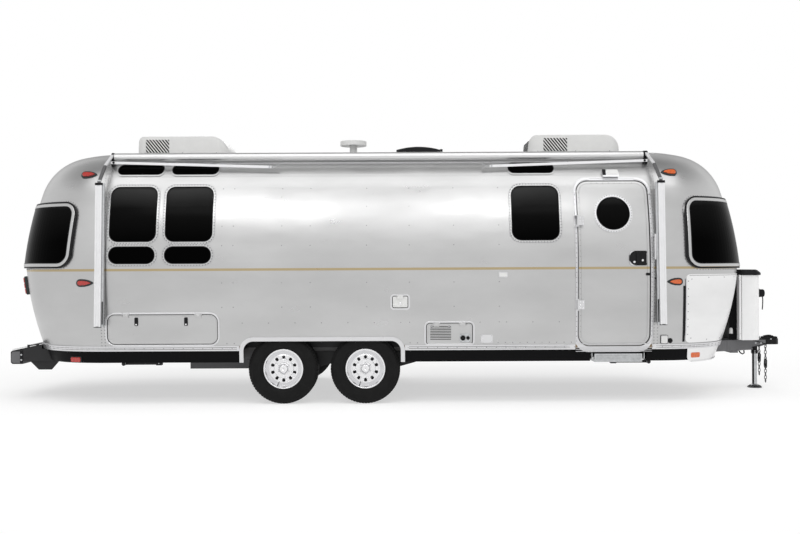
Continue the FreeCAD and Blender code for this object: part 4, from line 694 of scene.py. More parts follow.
def wheel_parts():
    """Bolt-on parts of one wheel, drawn with the outer face to +Y: nuts, hub cap, hole rims, drum face, valve."""
    nut, rim, valve_work = new_works(3)

    def loop(work, radius, y, height, sides):
        return [work.verts.new((radius * c, y, height + radius * s)) for c, s in around_axis(sides)]

    for low, high, radius in NUT_STEPS:
        rings = [loop(nut, radius, y, NUT_CIRCLE, 6) for y in (low, high)]
        walls(nut, rings)
        ends(nut, rings)
    nuts = ring_of("wheel_nuts", from_bmesh("wheel_nut", nut), 6, "chrome")
    walls(rim, [loop(rim, radius, y, HOLE_CIRCLE, 20) for radius, y in HOLE_RIM], True)
    rims = ring_of("hole_rims", from_bmesh("hole_rim", rim, True), 10, "wheel")
    rims.transform(Matrix.Rotation(math.radians(HOLE_TURN), 4, "Y"))
    drum_face = turned("drum_face", DRUM_FACE, "frame_paint", False)
    hub_cap = turned("hub_cap", HUB_CAP, "chrome")
    lip = turned("rim_lip", RIM_LIP, "wheel", steps=96)
    bmesh.ops.create_cone(valve_work, cap_ends=True, segments=10, radius1=0.0048, radius2=0.0036, depth=0.030)
    valve = from_bmesh("valve", valve_work)
    for move in (Matrix.Rotation(math.radians(VALVE_TILT), 4, "X"), Matrix.Translation((0.0, 0.062, 0.1700)),
                 Matrix.Rotation(math.radians(VALVE_TURN), 4, "Y")):
        valve.transform(move)
    valve.materials.append(finish["black"])
    return [nuts, rims, hub_cap, lip, valve], drum_face


def wheels():
    tyre_parts = tyre_mesh()
    bright_parts, drum_face = wheel_parts()
    for end, x in WHEEL_X.items():
        for side_name, side in SIDES.items():
            label, body = end + "_" + side_name, "road_wheel_" + end + "_" + side_name
            at = (x, side * TRACK_Y, TYRE_RADIUS, side < 0)
            tyre = joined("tyre_with_tread_" + label, [put(m, *at) for m in tyre_parts])
            piece(tyre.name, tyre, None, body, ["tyre_" + label])
            fittings = joined("wheel_fittings_" + label, [put(m, *at) for m in bright_parts])
            piece(fittings.name, fittings, None, body)
            piece("drum_face_" + label, put(drum_face, *at), "frame_paint", body)


def prism(work, corners, axis, low, high):
    """A prism from corners in the plane across an axis: (y, z) for x, (x, z) for y, (x, y) for z."""
    order = {"x": lambda a, b, c: (c, a, b), "y": lambda a, b, c: (a, c, b), "z": lambda a, b, c: (a, b, c)}[axis]
    rings = [[work.verts.new(order(a, b, at)) for a, b in corners] for at in (low, high)]
    work.faces.new(rings[0])
    work.faces.new(list(reversed(rings[1])))
    walls(work, rings)


def brick(work, x, y, z, soft=0.0):
    """A box from (low, high) pairs with its edges along x, y and z softened."""
    (x0, x1), (y0, y1), (z0, z1) = sorted(x), sorted(y), sorted(z)
    if not soft:
        return prism(work, [(x0, y0), (x1, y0), (x1, y1), (x0, y1)], "z", z0, z1)
    rings = []
    for at, inset in ((z0, soft), (z0 + soft, 0.0), (z1 - soft, 0.0), (z1, soft)):
        a0, a1, b0, b1 = x0 + inset, x1 - inset, y0 + inset, y1 - inset
        rings.append([work.verts.new((a, b, at)) for a, b in (
            (a0 + soft, b0), (a1 - soft, b0), (a1, b0 + soft), (a1, b1 - soft), (a1 - soft, b1), (a0 + soft, b1),
            (a0, b1 - soft), (a0, b0 + soft))])
    ends(work, rings)
    walls(work, rings)


def axes_of(way):
    """Two directions square to a way."""
    way = Vector(way).normalized()
    first = way.cross(Vector((0, 0, 1)))
    if first.length < 0.1:
        first = way.cross(Vector((1, 0, 0)))
    first.normalize()
    return first, way.cross(first).normalized()


def spun(work, centre, way, profile, sides=24):
    """A turned form round an axis, from (radius, height along the axis) pairs, closed at both ends."""
    centre, way = Vector(centre), Vector(way).normalized()
    across, up = axes_of(way)
    rings = [[work.verts.new(centre + way * height + across * radius * c + up * radius * s)
              for c, s in around_axis(sides)] for radius, height in profile]
    walls(work, rings)
    ends(work, rings)


def bolt(work, centre, way, radius, height):
    """A domed head on a washer."""
    spun(work, centre, way, [(radius * 1.5, 0.0), (radius * 1.5, height * 0.3), (radius, height * 0.35),
                             (radius * 0.9, height * 0.8), (radius * 0.5, height)], 12)


def bent_bar(work, path, radius, sides=10):
    """A round bar along a path of places."""
    path = [Vector(p) for p in path]
    across = axes_of(path[1] - path[0])[0]
    rings = []
    for i, here in enumerate(path):
        along = (path[min(i + 1, len(path) - 1)] - path[max(i - 1, 0)]).normalized()
        across = (across - along * across.dot(along)).normalized()
        up = along.cross(across)
        rings.append([work.verts.new(here + (across * c + up * s) * radius) for c, s in around_axis(sides)])
    walls(work, rings)
    ends(work, rings)


def pad(work, edge, low, high, soft=0.002, lean=0.0):
    """A plate on a surface: edge is a closed line of (place, way outwards) pairs, heights are along the way."""
    middle_of = sum((p for p, out in edge), Vector()) / len(edge)
    rings = [[work.verts.new(p + out * height + (middle_of - p).normalized() * inset) for p, out in edge]
             for height, inset in ((low, 0.0), (high - soft, lean), (high, lean + soft))]
    ends(work, rings)
    walls(work, rings)


def within(corners, x, z):
    """The part of a convex outline inside a rectangle."""
    for axis, limit, sign in ((0, x[0], 1), (0, x[1], -1), (1, z[0], 1), (1, z[1], -1)):
        kept = []
        for i, here in enumerate(corners):
            before = corners[i - 1]
            a, b = sign * (before[axis] - limit), sign * (here[axis] - limit)
            if (a < 0) != (b < 0):
                part = a / (a - b)
                kept.append(tuple(p + (q - p) * part for p, q in zip(before, here)))
            if b >= 0:
                kept.append(here)
        corners = kept
    return corners


def row_layout():
    """Repeats a piece at an even step, one after another."""
    tree, given, spread = layout("row_layout", (("Piece", "Geometry"), ("Count", "Int"), ("Step", "Vector")), "Row")
    line = tree.nodes.new("GeometryNodeMeshLine")
    wire(tree, (given["Count"], line.inputs["Count"]), (given["Step"], line.inputs["Offset"]),
         (line.outputs["Mesh"], spread["Points"]), (given["Piece"], spread["Instance"]))
    return tree


ROW = row_layout()


def row_of(name, segment, count, step, finish_key):
    return laid_out(name, ROW, segment, {"Count": count, "Step": step, "Finish": finish[finish_key]})


def finished(name, work, finish_key, slot, body="body", stands_for=()):
    return piece(name, from_bmesh(name, work), finish_key, body, stands_for)


# ------------------------------------------------------------------ roof units
AC_X = (-3.025, 1.367)
AC_LENGTH = 1.030
ROOF_Z = 2.675
GRILLES = ((0.112, 0.372), (0.162, 0.427))
GRILLE_Z = (2.693, 2.838)
SLAT_STEP, SLAT_WIDTH, SLAT_SLANT = 0.0345, 0.0150, 0.118
BACK_STEPS = 6


def draped(work, corners, tree, side, low, high):
    """A thin plate whose corners lie on the nearest surface seen from one side."""
    edge = [seen_from(tree, x, z, side) for x, z in corners]
    if all(edge):
        pad(work, [(hit, Vector((0, side, 0))) for hit, out in edge], low, high, 0.001)


def roof_units():
    units = tree_of(["air_conditioners"])
    backs, slats, gaskets, screws, fins = new_works(5)
    for x0, span in zip(AC_X, GRILLES):
        x = (x0 + span[0], x0 + span[1])
        for side in (-1, 1):
            for n in range(BACK_STEPS):
                a, b = (x[0] + (x[1] - x[0]) * at / BACK_STEPS for at in (n, n + 1))
                draped(backs, [(a, GRILLE_Z[0]), (b, GRILLE_Z[0]), (b, GRILLE_Z[1]), (a, GRILLE_Z[1])], units, side,
                       -0.001, 0.0015)
            start = x[0] - SLAT_SLANT
            while start < x[1]:
                slat = within([(start, GRILLE_Z[1]), (start + SLAT_WIDTH, GRILLE_Z[1]),
                               (start + SLAT_WIDTH + SLAT_SLANT, GRILLE_Z[0]), (start + SLAT_SLANT, GRILLE_Z[0])],
                              x, GRILLE_Z)
                if len(slat) > 2:
                    draped(slats, slat, units, side, 0.0, 0.007)
                start += SLAT_STEP
            for sx in (0.10, 0.52, 0.90):
                found = seen_from(units, x0 + sx, ROOF_Z + 0.012, side)
                if found and not x[0] < x0 + sx < x[1]:
                    bolt(screws, found[0], (0, side, 0), 0.006, 0.004)
        foot = []
        centre = Vector((x0 + AC_LENGTH / 2, 0, ROOF_Z + 0.006))
        for c, s in around_axis(72):
            way = Vector((c, s, 0))
            hit, out = units.ray_cast(centre + way * FAR_OFF, -way)[:2]
            if hit:
                foot.append((hit, (out if out.dot(way) > 0 else -out)))
        ribbon(gaskets, foot, square_profile(0.012, -0.004, 0.006))
        for n in range(7):
            z = ROOF_Z + 0.030 + n * 0.019
            hit = units.ray_cast(Vector((x0 - 2, 0, z)), Vector((1, 0, 0)))[0]
            if hit:
                brick(fins, (hit.x - 0.004, hit.x + 0.012), (-0.19, 0.19), (z - 0.0045, z + 0.0045))
    finished("cooler_grille_backs", backs, "black", "black_plastic")
    finished("cooler_grille_slats", slats, "white", "white_plastic")
    finished("cooler_gaskets", gaskets, "black", "black_plastic")
    finished("cooler_screws", screws, "rivet", "trim")
    finished("cooler_rear_fins", fins, "black", "black_plastic")


# ------------------------------------------------------------------ awning
ARM_X = (-3.143, 2.583)
ARM_FOOT, ARM_HEAD = Vector((-1.345, 0.805)), Vector((-1.270, 2.350))
TUBE_Y, TUBE_Z = -0.930, 2.573
COLLAR_Z = 2.262
RAFTER_X = (-1.414, 0.858)
CAST_X, CAST_HALF = (-3.098, 2.512), (0.016, 0.026)
ROLL_X = (-3.080, 2.484)


def arm_place(share, off=0.0):
    """A place along an arm's upright as (y, z), moved outwards by off."""
    line = ARM_HEAD - ARM_FOOT
    out = Vector((-line.y, line.x)).normalized()
    return ARM_FOOT + line * share + out * off


def square_bar(work, start, end, wide, deep, across=(1, 0, 0)):
    """A flat bar between two places; wide runs along across."""
    start, end = Vector(start), Vector(end)
    along = (end - start).normalized()
    side = (Vector(across) - along * along.dot(Vector(across))).normalized()
    up = along.cross(side)
    rings = [[work.verts.new(p + side * a * wide / 2 + up * b * deep / 2)
              for a, b in ((-1, -0.8), (-0.9, -1), (0.9, -1), (1, -0.8), (1, 0.8), (0.9, 1), (-0.9, 1), (-1, 0.8))]
             for p in (start, end)]
    ends(work, rings)
    walls(work, rings)


def on_arm(work, x, start, end, wide, deep):
    """A bar along an arm between two (share, off) places."""
    square_bar(work, (x, *arm_place(*start)), (x, *arm_place(*end)), wide, deep)


def awning():
    pale, black, grey, cloth, shade = new_works(5)
    top = (COLLAR_Z - ARM_FOOT.y) / (ARM_HEAD.y - ARM_FOOT.y)
    for x, toward, tip, cast_x, cast_half in zip(ARM_X, (1, -1), RAFTER_X, CAST_X, CAST_HALF):
        # the outer channel: two flanges round a shallow groove
        on_arm(pale, x, (0.0,), (top,), 0.068, 0.030)
        for at in (-0.0245, 0.0245):
            on_arm(pale, x + at, (0.004, 0.017), (top - 0.004, 0.017), 0.017, 0.006)
        on_arm(black, x, (top - 0.008,), (top + 0.008,), 0.074, 0.042)
        on_arm(black, x, (0.0,), (0.006,), 0.070, 0.038)
        # the slim inner arm that goes on up to the roller
        knee = arm_place(top + 0.022, -0.004)
        half_way = (x + (cast_x - x) * 0.45, -1.135, 2.462)
        square_bar(shade, (x, *arm_place(top)), (x, *knee), 0.032, 0.022)
        square_bar(shade, (x, knee.x, knee.y - 0.006), half_way, 0.032, 0.022)
        square_bar(pale, half_way, (cast_x, TUBE_Y - 0.030, TUBE_Z + 0.020), 0.028, 0.020)
        spun(grey, (x - 0.019, knee.x, knee.y), (1, 0, 0),
             [(0.010, 0), (0.013, 0.004), (0.013, 0.034), (0.010, 0.038)])
        # the casting that carries the roller, with its lock lever
        spun(black, (cast_x - cast_half, TUBE_Y, TUBE_Z), (1, 0, 0),
             [(0.030, 0.0), (0.046, 0.004), (0.0478, 0.008), (0.0478, cast_half * 2 - 0.008),
              (0.040, cast_half * 2 - 0.004), (0.030, cast_half * 2)], 28)
        brick(black, (cast_x - 0.016, cast_x + 0.016), (TUBE_Y - 0.046, TUBE_Y - 0.010),
              (TUBE_Z - 0.080, TUBE_Z - 0.030), 0.005)
        spun(grey, (cast_x, TUBE_Y - 0.046, TUBE_Z - 0.058), (0, -1, 0),
             [(0.010, 0), (0.010, 0.004), (0.006, 0.006)], 12)
        square_bar(black, (cast_x, -0.960, 2.480), (cast_x, -0.985, 2.535), 0.022, 0.016)
        # the slim second channel beside it, with its dark slot low down
        beside = x + toward * 0.047
        on_arm(grey, beside, (0.002, -0.006), (top, -0.006), 0.022, 0.018)
        on_arm(black, beside, (0.02, 0.001), (0.17, 0.001), 0.012, 0.010)
        # wall bracket at the foot
        foot = arm_place(0.0)
        brick(grey, (x - 0.032, x + 0.032), (foot.x + 0.016, foot.x + 0.060),
              (foot.y + 0.004, foot.y + 0.042), 0.003)
        # rafter: a channel with a slider and crossed knuckles at its end
        start, end = Vector((cast_x, -1.018, 2.508)), Vector((tip, -1.055, 2.452))
        square_bar(pale, start, end, 0.014, 0.026, (0, 1, 0))
        way = (end - start).normalized()
        outer = Vector((0, -0.016, 0))
        spun(grey, end - way * 0.02 + outer, (0, 1, 0),
             [(0.008, 0), (0.010, 0.002), (0.010, 0.006), (0.008, 0.008)], 14)
        spun(black, start + way * 0.03 + outer, (0, 1, 0),
             [(0.010, 0), (0.012, 0.003), (0.012, 0.028), (0.010, 0.031)], 14)
        for n, rise in ((0, 0.030), (1, -0.030)):
            cross = end + way * 0.005
            square_bar(grey, cross + Vector((0, -0.004 + 0.008 * n, rise * 0.5)),
                       cross - Vector((toward * -0.075, 0.004 - 0.008 * n, rise * 0.9)), 0.012, 0.004, (0, 1, 0))
    # the wall rail on the shoulder of the roof
    rail = [cast((-3.080 + n * (5.560 / 60), -FAR_OFF, 2.505), (0, 1, 0)) for n in range(61)]
    strip = bmesh.new()
    ribbon(strip, [r for r in rail if r], bead_profile(0.022, 0.008, 0.009, 0.012, -0.003), closed=False)
    finished("awning_wall_rail", strip, "trim", "trim")
    # the rolled cloth: a spiral of laps on the roller with a free edge towards the wall rail
    laps = []
    for n in range(49):
        a, reach = math.tau * n / 48 + 0.8, 0.0432 + 0.0012 * n / 48
        laps.append((TUBE_Y + math.cos(a) * reach, TUBE_Z + math.sin(a) * reach))
    inner = [(TUBE_Y + (y - TUBE_Y) * 0.62, TUBE_Z + (z - TUBE_Z) * 0.62) for y, z in laps]
    verts = [[cloth.verts.new((x, y, z)) for y, z in laps] for x in ROLL_X]
    inside = [[cloth.verts.new((x, y, z)) for y, z in inner] for x in ROLL_X]
    for k in range(48):
        cloth.faces.new((verts[0][k], verts[0][k + 1], verts[1][k + 1], verts[1][k]))
        cloth.faces.new((inside[0][k + 1], inside[0][k], inside[1][k], inside[1][k + 1]))
        for e in (0, 1):
            cloth.faces.new((verts[e][k], verts[e][k + 1], inside[e][k + 1], inside[e][k]))
    for k in (0, 48):
        cloth.faces.new((verts[0][k], verts[1][k], inside[1][k], inside[0][k]))
    finished("awning_roll", cloth, "roller", "awning_fabric", stands_for=["awning_tube"])
    finished("awning_arm_channels", pale, "arm", "trim", stands_for=["awning_arms"])
    finished("awning_castings", black, "black", "black_plastic")
    finished("awning_inner_arms", grey, "galvanised", "trim")
    finished("awning_struts", shade, "strut", "trim")


# ------------------------------------------------------------------ door, hatches and plates
DOOR_CORNER = 0.115
PORTHOLE = (2.106, 1.945, 0.168)
HINGE_Z = (1.012, 1.868)
HINGE_FACE_Y = -1.2935
LUGGAGE = ((-3.070, -1.950), (0.627, 0.925), 0.075)
SERVICE = ((0.190, 0.655), (0.612, 0.825), 0.030)
FILLER = ((-0.155, -0.004), (0.992, 1.104), 0.012)
RIM_LOW = 0.609
# steps of the lines round the openings, and how far inside its joint a seal reads the sheet
DOOR_PITCH, HATCH_PITCH, SEAL_LEAN = 0.03, 0.02, 0.010
# a seal's middle outside its panel, and its foot and top below the sheet
SEAL_OUT, SEAL_LOW, SEAL_HIGH = 0.0035, -0.012, -0.0005
# a lock's or key's round face, proud of its sheet, as (radius, height) pairs
KEY_FACE = [(0.012, -0.001), (0.012, 0.004), (0.009, 0.006), (0.002, 0.006)]
# plates on the walls: x, z, side and how proud each stands
WALL_PLATES = (((0.743, 0.864), (0.626, 0.709), -1, 0.008), ((2.583, 2.655), (0.610, 0.695), -1, 0.010),
               ((0.150, 0.290), (0.640, 0.760), 1, 0.012), ((0.430, 0.520), (0.655, 0.745), 1, 0.010),
               ((0.760, 1.040), (0.640, 0.900), 1, 0.010), ((1.850, 2.380), (0.660, 1.010), 1, 0.012))
# vents of the road side: x, z and the step from slat to slat
WALL_VENTS = (((0.785, 1.015), (0.665, 0.875), 0.020), ((1.885, 2.345), (0.690, 0.980), 0.020))
SCREW_INSET = 0.010
LOCK_PROUD = 0.0172


def arc(cx, cz, radius, start, end, steps=8):
    """Corners along an arc, as (x, z) pairs."""
    return [(cx + radius * math.cos(math.radians(start + (end - start) * n / steps)),
             cz + radius * math.sin(math.radians(start + (end - start) * n / steps))) for n in range(steps + 1)]


def edge_on(corners, side):
    """Places on a side wall at the corners of an outline."""
    return [p for p in (on_side(x, z, side) for x, z in corners) if p]


def rounded(x, z, radius, steps, grow=0.0):
    """Corners of a rectangle with round corners; grow widens the round corners alone."""
    centres = ((x[1] - radius, z[0] + radius), (x[1] - radius, z[1] - radius), (x[0] + radius, z[1] - radius),
               (x[0] + radius, z[0] + radius))
    return [p for (cx, cz), start in zip(centres, (-90, 0, 90, 180))
            for p in arc(cx, cz, radius + grow, start, start + 90, steps)]


def rect_on(x, z, radius, side):
    return edge_on(rounded(x, z, radius, 4), side)


def disc_at(work, x, z, side, profile, sides=20):
    here, out = on_side(x, z, side)
    spun(work, here, out, profile, sides)


def door_details():
    kerb = SIDES["kerb"]
    seal, bead, black, bright, frame_bead, catch, stop = new_works(7)
    ribbon(seal, around(DOOR_X, DOOR_Z, DOOR_CORNER, kerb, SEAL_OUT, DOOR_PITCH, SEAL_LEAN),
           flat_profile(0.0042, SEAL_LOW, SEAL_HIGH))
    # hem round the leaf, and the pressed panel lines
    for grow, wide, high in ((-0.013, 0.022, 0.0018), (-0.0275, 0.003, 0.0030)):
        ribbon(bead, around(DOOR_X, DOOR_Z, DOOR_CORNER, kerb, grow, DOOR_PITCH), flat_profile(wide, -0.001, high))
    # beads on both edges of the jamb's frame
    x, z = (DOOR_X[0] - 0.008, DOOR_X[1] + 0.010), (DOOR_Z[0] - 0.008, DOOR_Z[1] + 0.008)
    for grow, wide in ((0.004, 0.005), (0.0225, 0.007)):
        ribbon(frame_bead, around(x, z, DOOR_CORNER, kerb, grow, DOOR_PITCH),
               bead_profile(wide, wide / 2, 0.0085, 0.0105))
    # thicker castings at the top corners
    for cx, start in ((x[1] - DOOR_CORNER, 0), (x[0] + DOOR_CORNER, 90)):
        path = [on_side(cx + (DOOR_CORNER + 0.0135) * math.cos(math.radians(a)),
                        z[1] - DOOR_CORNER + (DOOR_CORNER + 0.0135) * math.sin(math.radians(a)), kerb)
                for a in range(start - 14, start + 105, 8)]
        ribbon(frame_bead, path, bead_profile(0.028, 0.020, 0.010, 0.0135), closed=False)
    # sill plate with three ridges
    sill_y = on_side(2.1, 0.65, kerb)[0].y + 0.006
    for z_at in (0.534, 0.552, 0.570):
        brick(frame_bead, (1.712, 2.491), (sill_y - 0.016, sill_y), (z_at - 0.0025, z_at + 0.0025), 0.001)
    # round window: bezel rivets and seal
    px, pz, radius = PORTHOLE
    ring, dots = ([on_side(px + (radius + grow) * c, pz + (radius + grow) * s, kerb) for c, s in around_axis(count)]
                  for grow, count in ((0.001, 64), (0.022, 44)))
    ribbon(seal, ring, flat_profile(0.007, -0.002, 0.0095))
    dots = lifted(dots, 0.008)

    def column(x, low, step, count, gap=0.0):
        """Places up the door or its jamb, with a gap at each hinge."""
        return [on_side(x, low + n * step, kerb) for n in range(count)
                if all(abs(low + n * step - h) > gap for h in HINGE_Z)]

    dots += column(DOOR_X[0] + 0.018, 0.68, 0.055, 28, 0.06)
    dots += [on_side(1.90 + n * 0.06, DOOR_Z[1] - 0.020, kerb) for n in range(8)]
    rivets("door_rivets", dots, "door")
    jamb = column(DOOR_X[0] - 0.022, 0.64, 0.05, 31, 0.08) + column(DOOR_X[1] + 0.023, 0.64, 0.05, 31)
    rivets("jamb_rivets", lifted(jamb, 0.006), radius=0.0045)
    # lock: a D-shaped plate with a paddle, a pull bar and two key barrels
    plate_edge = arc(2.422, 1.422, 0.012, -90, 0, 3) + arc(2.422, 1.547, 0.012, 0, 90, 3) \
        + arc(2.322, 1.494, 0.065, 90, 180, 6) + arc(2.322, 1.475, 0.065, 180, 270, 6)
    pad(black, edge_on(plate_edge, kerb), -0.001, LOCK_PROUD, 0.003)
    paddle = edge_on(arc(2.335, 1.450, 0.008, 180, 270, 3) + arc(2.352, 1.450, 0.008, -90, 0, 3)
                     + arc(2.352, 1.535, 0.008, 0, 90, 3) + arc(2.335, 1.535, 0.008, 90, 180, 3), kerb)
    pad(black, paddle, LOCK_PROUD - 0.002, LOCK_PROUD + 0.009, 0.003)
    ribbon(black, lifted(rect_on((2.376, 2.418), (1.448, 1.538), 0.008, kerb), LOCK_PROUD - 0.0015),
           square_profile(0.004, 0, 0.003))
    for kx, kz in ((2.307, 1.4456), (2.391, 1.462)):
        disc_at(bright, kx, kz, kerb, [(0.0125, LOCK_PROUD - 0.001), (0.0125, LOCK_PROUD + 0.002),
                                       (0.0100, LOCK_PROUD + 0.005), (0.0030, LOCK_PROUD + 0.0052)])
    pad(catch, rect_on((2.428, 2.466), (1.307, 1.334), 0.008, kerb), -0.001, 0.017, 0.003)
    finished("door_catch", catch, "black", "black_plastic", "door")
    disc_at(stop, 2.528, 1.279, kerb, [(0.011, -0.001), (0.011, 0.010), (0.008, 0.014), (0.003, 0.015)])
    finished("door_holder", stop, "black", "black_plastic")
    # hinge screws
    for h in HINGE_Z:
        for dz in (-0.030, 0.0, 0.030):
            for dx in (0.012, 0.040):
                here = on_side(DOOR_X[0] + dx, h + dz, kerb)[0]
                bolt(bright, (here.x, HINGE_FACE_Y, here.z), (0, -1, 0), 0.0042, 0.0028)
    finished("door_seals", seal, "black", "black_plastic", "door")
    finished("door_hem", bead, "skin", "skin", "door")
    finished("door_lock", black, "black", "black_plastic", "door")
    finished("door_keys_and_screws", bright, "chrome", "trim", "door")
    finished("jamb_beads", frame_bead, "trim", "trim")


def hatch_details():
    for name, side, (x, z, r) in (("luggage_hatch_kerb", -1, LUGGAGE), ("luggage_hatch_road", 1, LUGGAGE),
                                  ("service_hatch", -1, SERVICE), ("filler_hatch", -1, FILLER)):
        seal, hem = new_works(2)
        small = name == "filler_hatch"
        ribbon(seal, around(x, z, r, side, SEAL_OUT, HATCH_PITCH, SEAL_LEAN),
               flat_profile(0.0035, SEAL_LOW, SEAL_HIGH))
        ribbon(hem, around(x, z, r, side, -0.009, HATCH_PITCH), flat_profile(0.012, -0.001, 0.0016))
        if not small:
            # a rim that stops at the rub rail stays open
            whole = around(x, z, r, side, 0.0165, HATCH_PITCH)
            path = [(p, out) for p, out in whole if p.z > RIM_LOW]
            rim = bmesh.new()
            ribbon(rim, path, bead_profile(0.017, 0.009, 0.0065, 0.0090), closed=len(path) == len(whole))
            finished(name + "_rim", rim, "trim", "trim")
        finished(name + "_seal", seal, "black", "black_plastic", name)
        finished(name + "_hem", hem, *(("white", "white_plastic") if small else ("skin", "skin")), name)
    for side_name, side in SIDES.items():
        tabs, rings = new_works(2)
        for x in (-2.7755, -2.268):
            pad(tabs, rect_on((x - 0.018, x + 0.018), (0.814, 0.900), 0.010, side), -0.001, 0.011, 0.003)
            pad(tabs, rect_on((x - 0.012, x + 0.012), (0.842, 0.894), 0.006, side), 0.009, 0.018, 0.003)
            disc_at(rings, x, 0.830, side,
                    [(0.0090, 0.0105), (0.0090, 0.0140), (0.0070, 0.0160), (0.0020, 0.0162)])
        finished(f"luggage_latches_{side_name}", tabs, "black", "black_plastic", "luggage_hatch_" + side_name)
        finished(f"luggage_keys_{side_name}", rings, "chrome", "trim", "luggage_hatch_" + side_name)
    kerb = SIDES["kerb"]
    plate, dark, catch, lock = new_works(4)
    pad(plate, rect_on((0.527, 0.640), (0.632, 0.722), 0.010, kerb), -0.001, 0.004, 0.0015)
    for cx, rad in ((0.560, 0.026), (0.612, 0.018)):
        disc_at(dark, cx, 0.677, kerb,
                [(rad, 0.003), (rad, 0.016), (rad * 0.82, 0.016), (rad * 0.80, 0.006), (0.002, 0.006)])
    for n in range(9):
        z_at = 0.660 + n * 0.0165
        pad(dark, rect_on((0.225, 0.440), (z_at, z_at + 0.0065), 0.0030, kerb), -0.001, 0.0022, 0.0008)
    for sx in (0.540, 0.628):
        for sz in (0.641, 0.713):
            disc_at(catch, sx, sz, kerb, [(0.0042, 0.003), (0.0042, 0.005), (0.002, 0.0062)], 10)
    for x in (0.42, 0.24):
        disc_at(catch, x, 0.795, kerb, KEY_FACE)
    finished("exhaust_plate", plate, "galvanised", "trim", "service_hatch")
    finished("exhaust_tubes_and_louvres", dark, "black", "black_plastic", "service_hatch")
    finished("service_hatch_screws", catch, "rivet", "trim", "service_hatch")
    disc_at(lock, -0.079, 1.030, kerb, [(0.014, -0.001), (0.014, 0.004), (0.011, 0.006), (0.002, 0.0062)])
    finished("filler_key", lock, "chrome", "trim", "filler_hatch")


def wall_plate_details():
    """Faces of the small plates: louvres, lenses, inlets and their screws."""
    kerb, road = SIDES["kerb"], SIDES["road"]
    dark, lens, screws, white = new_works(4)
    for x, z, side, proud in WALL_PLATES:
        for sx in (x[0] + SCREW_INSET, x[1] - SCREW_INSET):
            for sz in (z[0] + SCREW_INSET, z[1] - SCREW_INSET):
                disc_at(screws, sx, sz, side,
                        [(0.004, proud - 0.001), (0.004, proud + 0.0015), (0.002, proud + 0.0025)], 10)
    ribbon(dark, rect_on(*WALL_PLATES[1][:2], 0.010, kerb), flat_profile(0.006, -0.001, 0.011))
    pad(white, rect_on((2.590, 2.648), (0.618, 0.687), 0.006, kerb), 0.008, 0.0135, 0.002)
    disc_at(dark, 2.682, 0.639, kerb,
            [(0.026, -0.001), (0.026, 0.006), (0.022, 0.010), (0.010, 0.010), (0.009, 0.004), (0.001, 0.004)])
    # step light and door light
    pad(lens, rect_on((0.932, 1.007), (1.303, 1.341), 0.010, kerb), 0.016, 0.0225, 0.003)
    pad(dark, rect_on((2.024, 2.060), (2.327, 2.392), 0.008, kerb), 0.030, 0.0375, 0.003)
    pad(lens, rect_on((2.066, 2.186), (2.334, 2.386), 0.008, kerb), 0.034, 0.0395, 0.003)
    for x, z, step in WALL_VENTS:
        for n in range(int((z[1] - z[0]) / step)):
            at = z[0] + n * step
            pad(dark, rect_on(x, (at, at + step * 0.45), 0.003, road), 0.009, 0.0145, 0.001)
    ribbon(dark, rect_on((0.160, 0.280), (0.650, 0.750), 0.016, road), flat_profile(0.004, 0.010, 0.0135))
    disc_at(white, 0.475, 0.700, road,
            [(0.024, 0.009), (0.024, 0.018), (0.016, 0.020), (0.015, 0.012), (0.002, 0.012)])
    finished("plate_louvres", dark, "black", "black_plastic")
    finished("plate_lenses", lens, "white", "white_plastic")
    finished("plate_screws", screws, "rivet", "trim")
    finished("inlet_covers", white, "white", "white_plastic")


# ------------------------------------------------------------------ windows of the two ends
PANE_PROUD, PANE_RIM = 0.030, 0.0335
# seam, way, near edge's x at its foot and head, far edge's half width, z low and high
END_WINDOWS = {"rear": (REAR_SEAM, -1, (-3.494, -3.431), 0.470, 1.454, 2.040),
               "front": (FRONT_SEAM, 1, (2.894, 2.888), 0.470, 1.425, 2.072)}
CENTRE_HALF, END_CORNER, SIDE_PANE_LENGTH = 0.400, 0.095, 1.08
# what a ray may meet at an end and on a side, and how proud of the bare sheet each stands
END_SHEETS = ((tree_of(["rear_end", "front_end"]), 0.0), (tree_of(["window_glass"]), 0.024),
              (tree_of(["window_frames"]), 0.028))
SIDE_SHEETS = ((tree_of(["side_wall_kerb"]), 0.0),)


def bare(start, way, sheets=END_SHEETS):
    """The place on the bare sheet along a ray, below any pane or frame there."""
    start, way = Vector(start), Vector(way)
    best = None
    for tree, proud in sheets:
        hit, out = tree.ray_cast(start, way)[:2]
        if hit is None:
            continue
        out = -out if out.dot(way) > 0 else out
        if best is None or (hit - start).length < best[0]:
            best = ((hit - start).length, hit - out * proud, out)
    return best[1:]


def end_plan(seam, sign):
    """An end's bare surface as a function: t runs from the seam at the side, 0, to the middle, 1."""
    cache = {}

    def reach_and_half(z):
        key = round(z, 3)
        if key not in cache:
            nose_at = bare((seam + sign * 4.0, 0, z), (-sign, 0, 0))[0]
            wall_at = bare((seam - sign * 0.015, -3.0, z), (0, 1, 0), SIDE_SHEETS)[0]
            cache[key] = sign * (nose_at.x - seam), -wall_at.y
        return cache[key]

    def at(t, z, side):
        reach, half = reach_and_half(z)
        return Vector((seam + sign * reach * (2 * t - t * t), side * half * (1 - t * t), z))

    def find(t, z, side):
        here = at(t, z, side)
        round_way = at(t + 0.002, z, side) - at(t - 0.002, z, side)
        out = round_way.cross(at(t, z + 0.01, side) - at(t, z - 0.01, side)).normalized()
        return here, (out if out.x * sign + out.y * side > 0 else -out)

    return find, reach_and_half


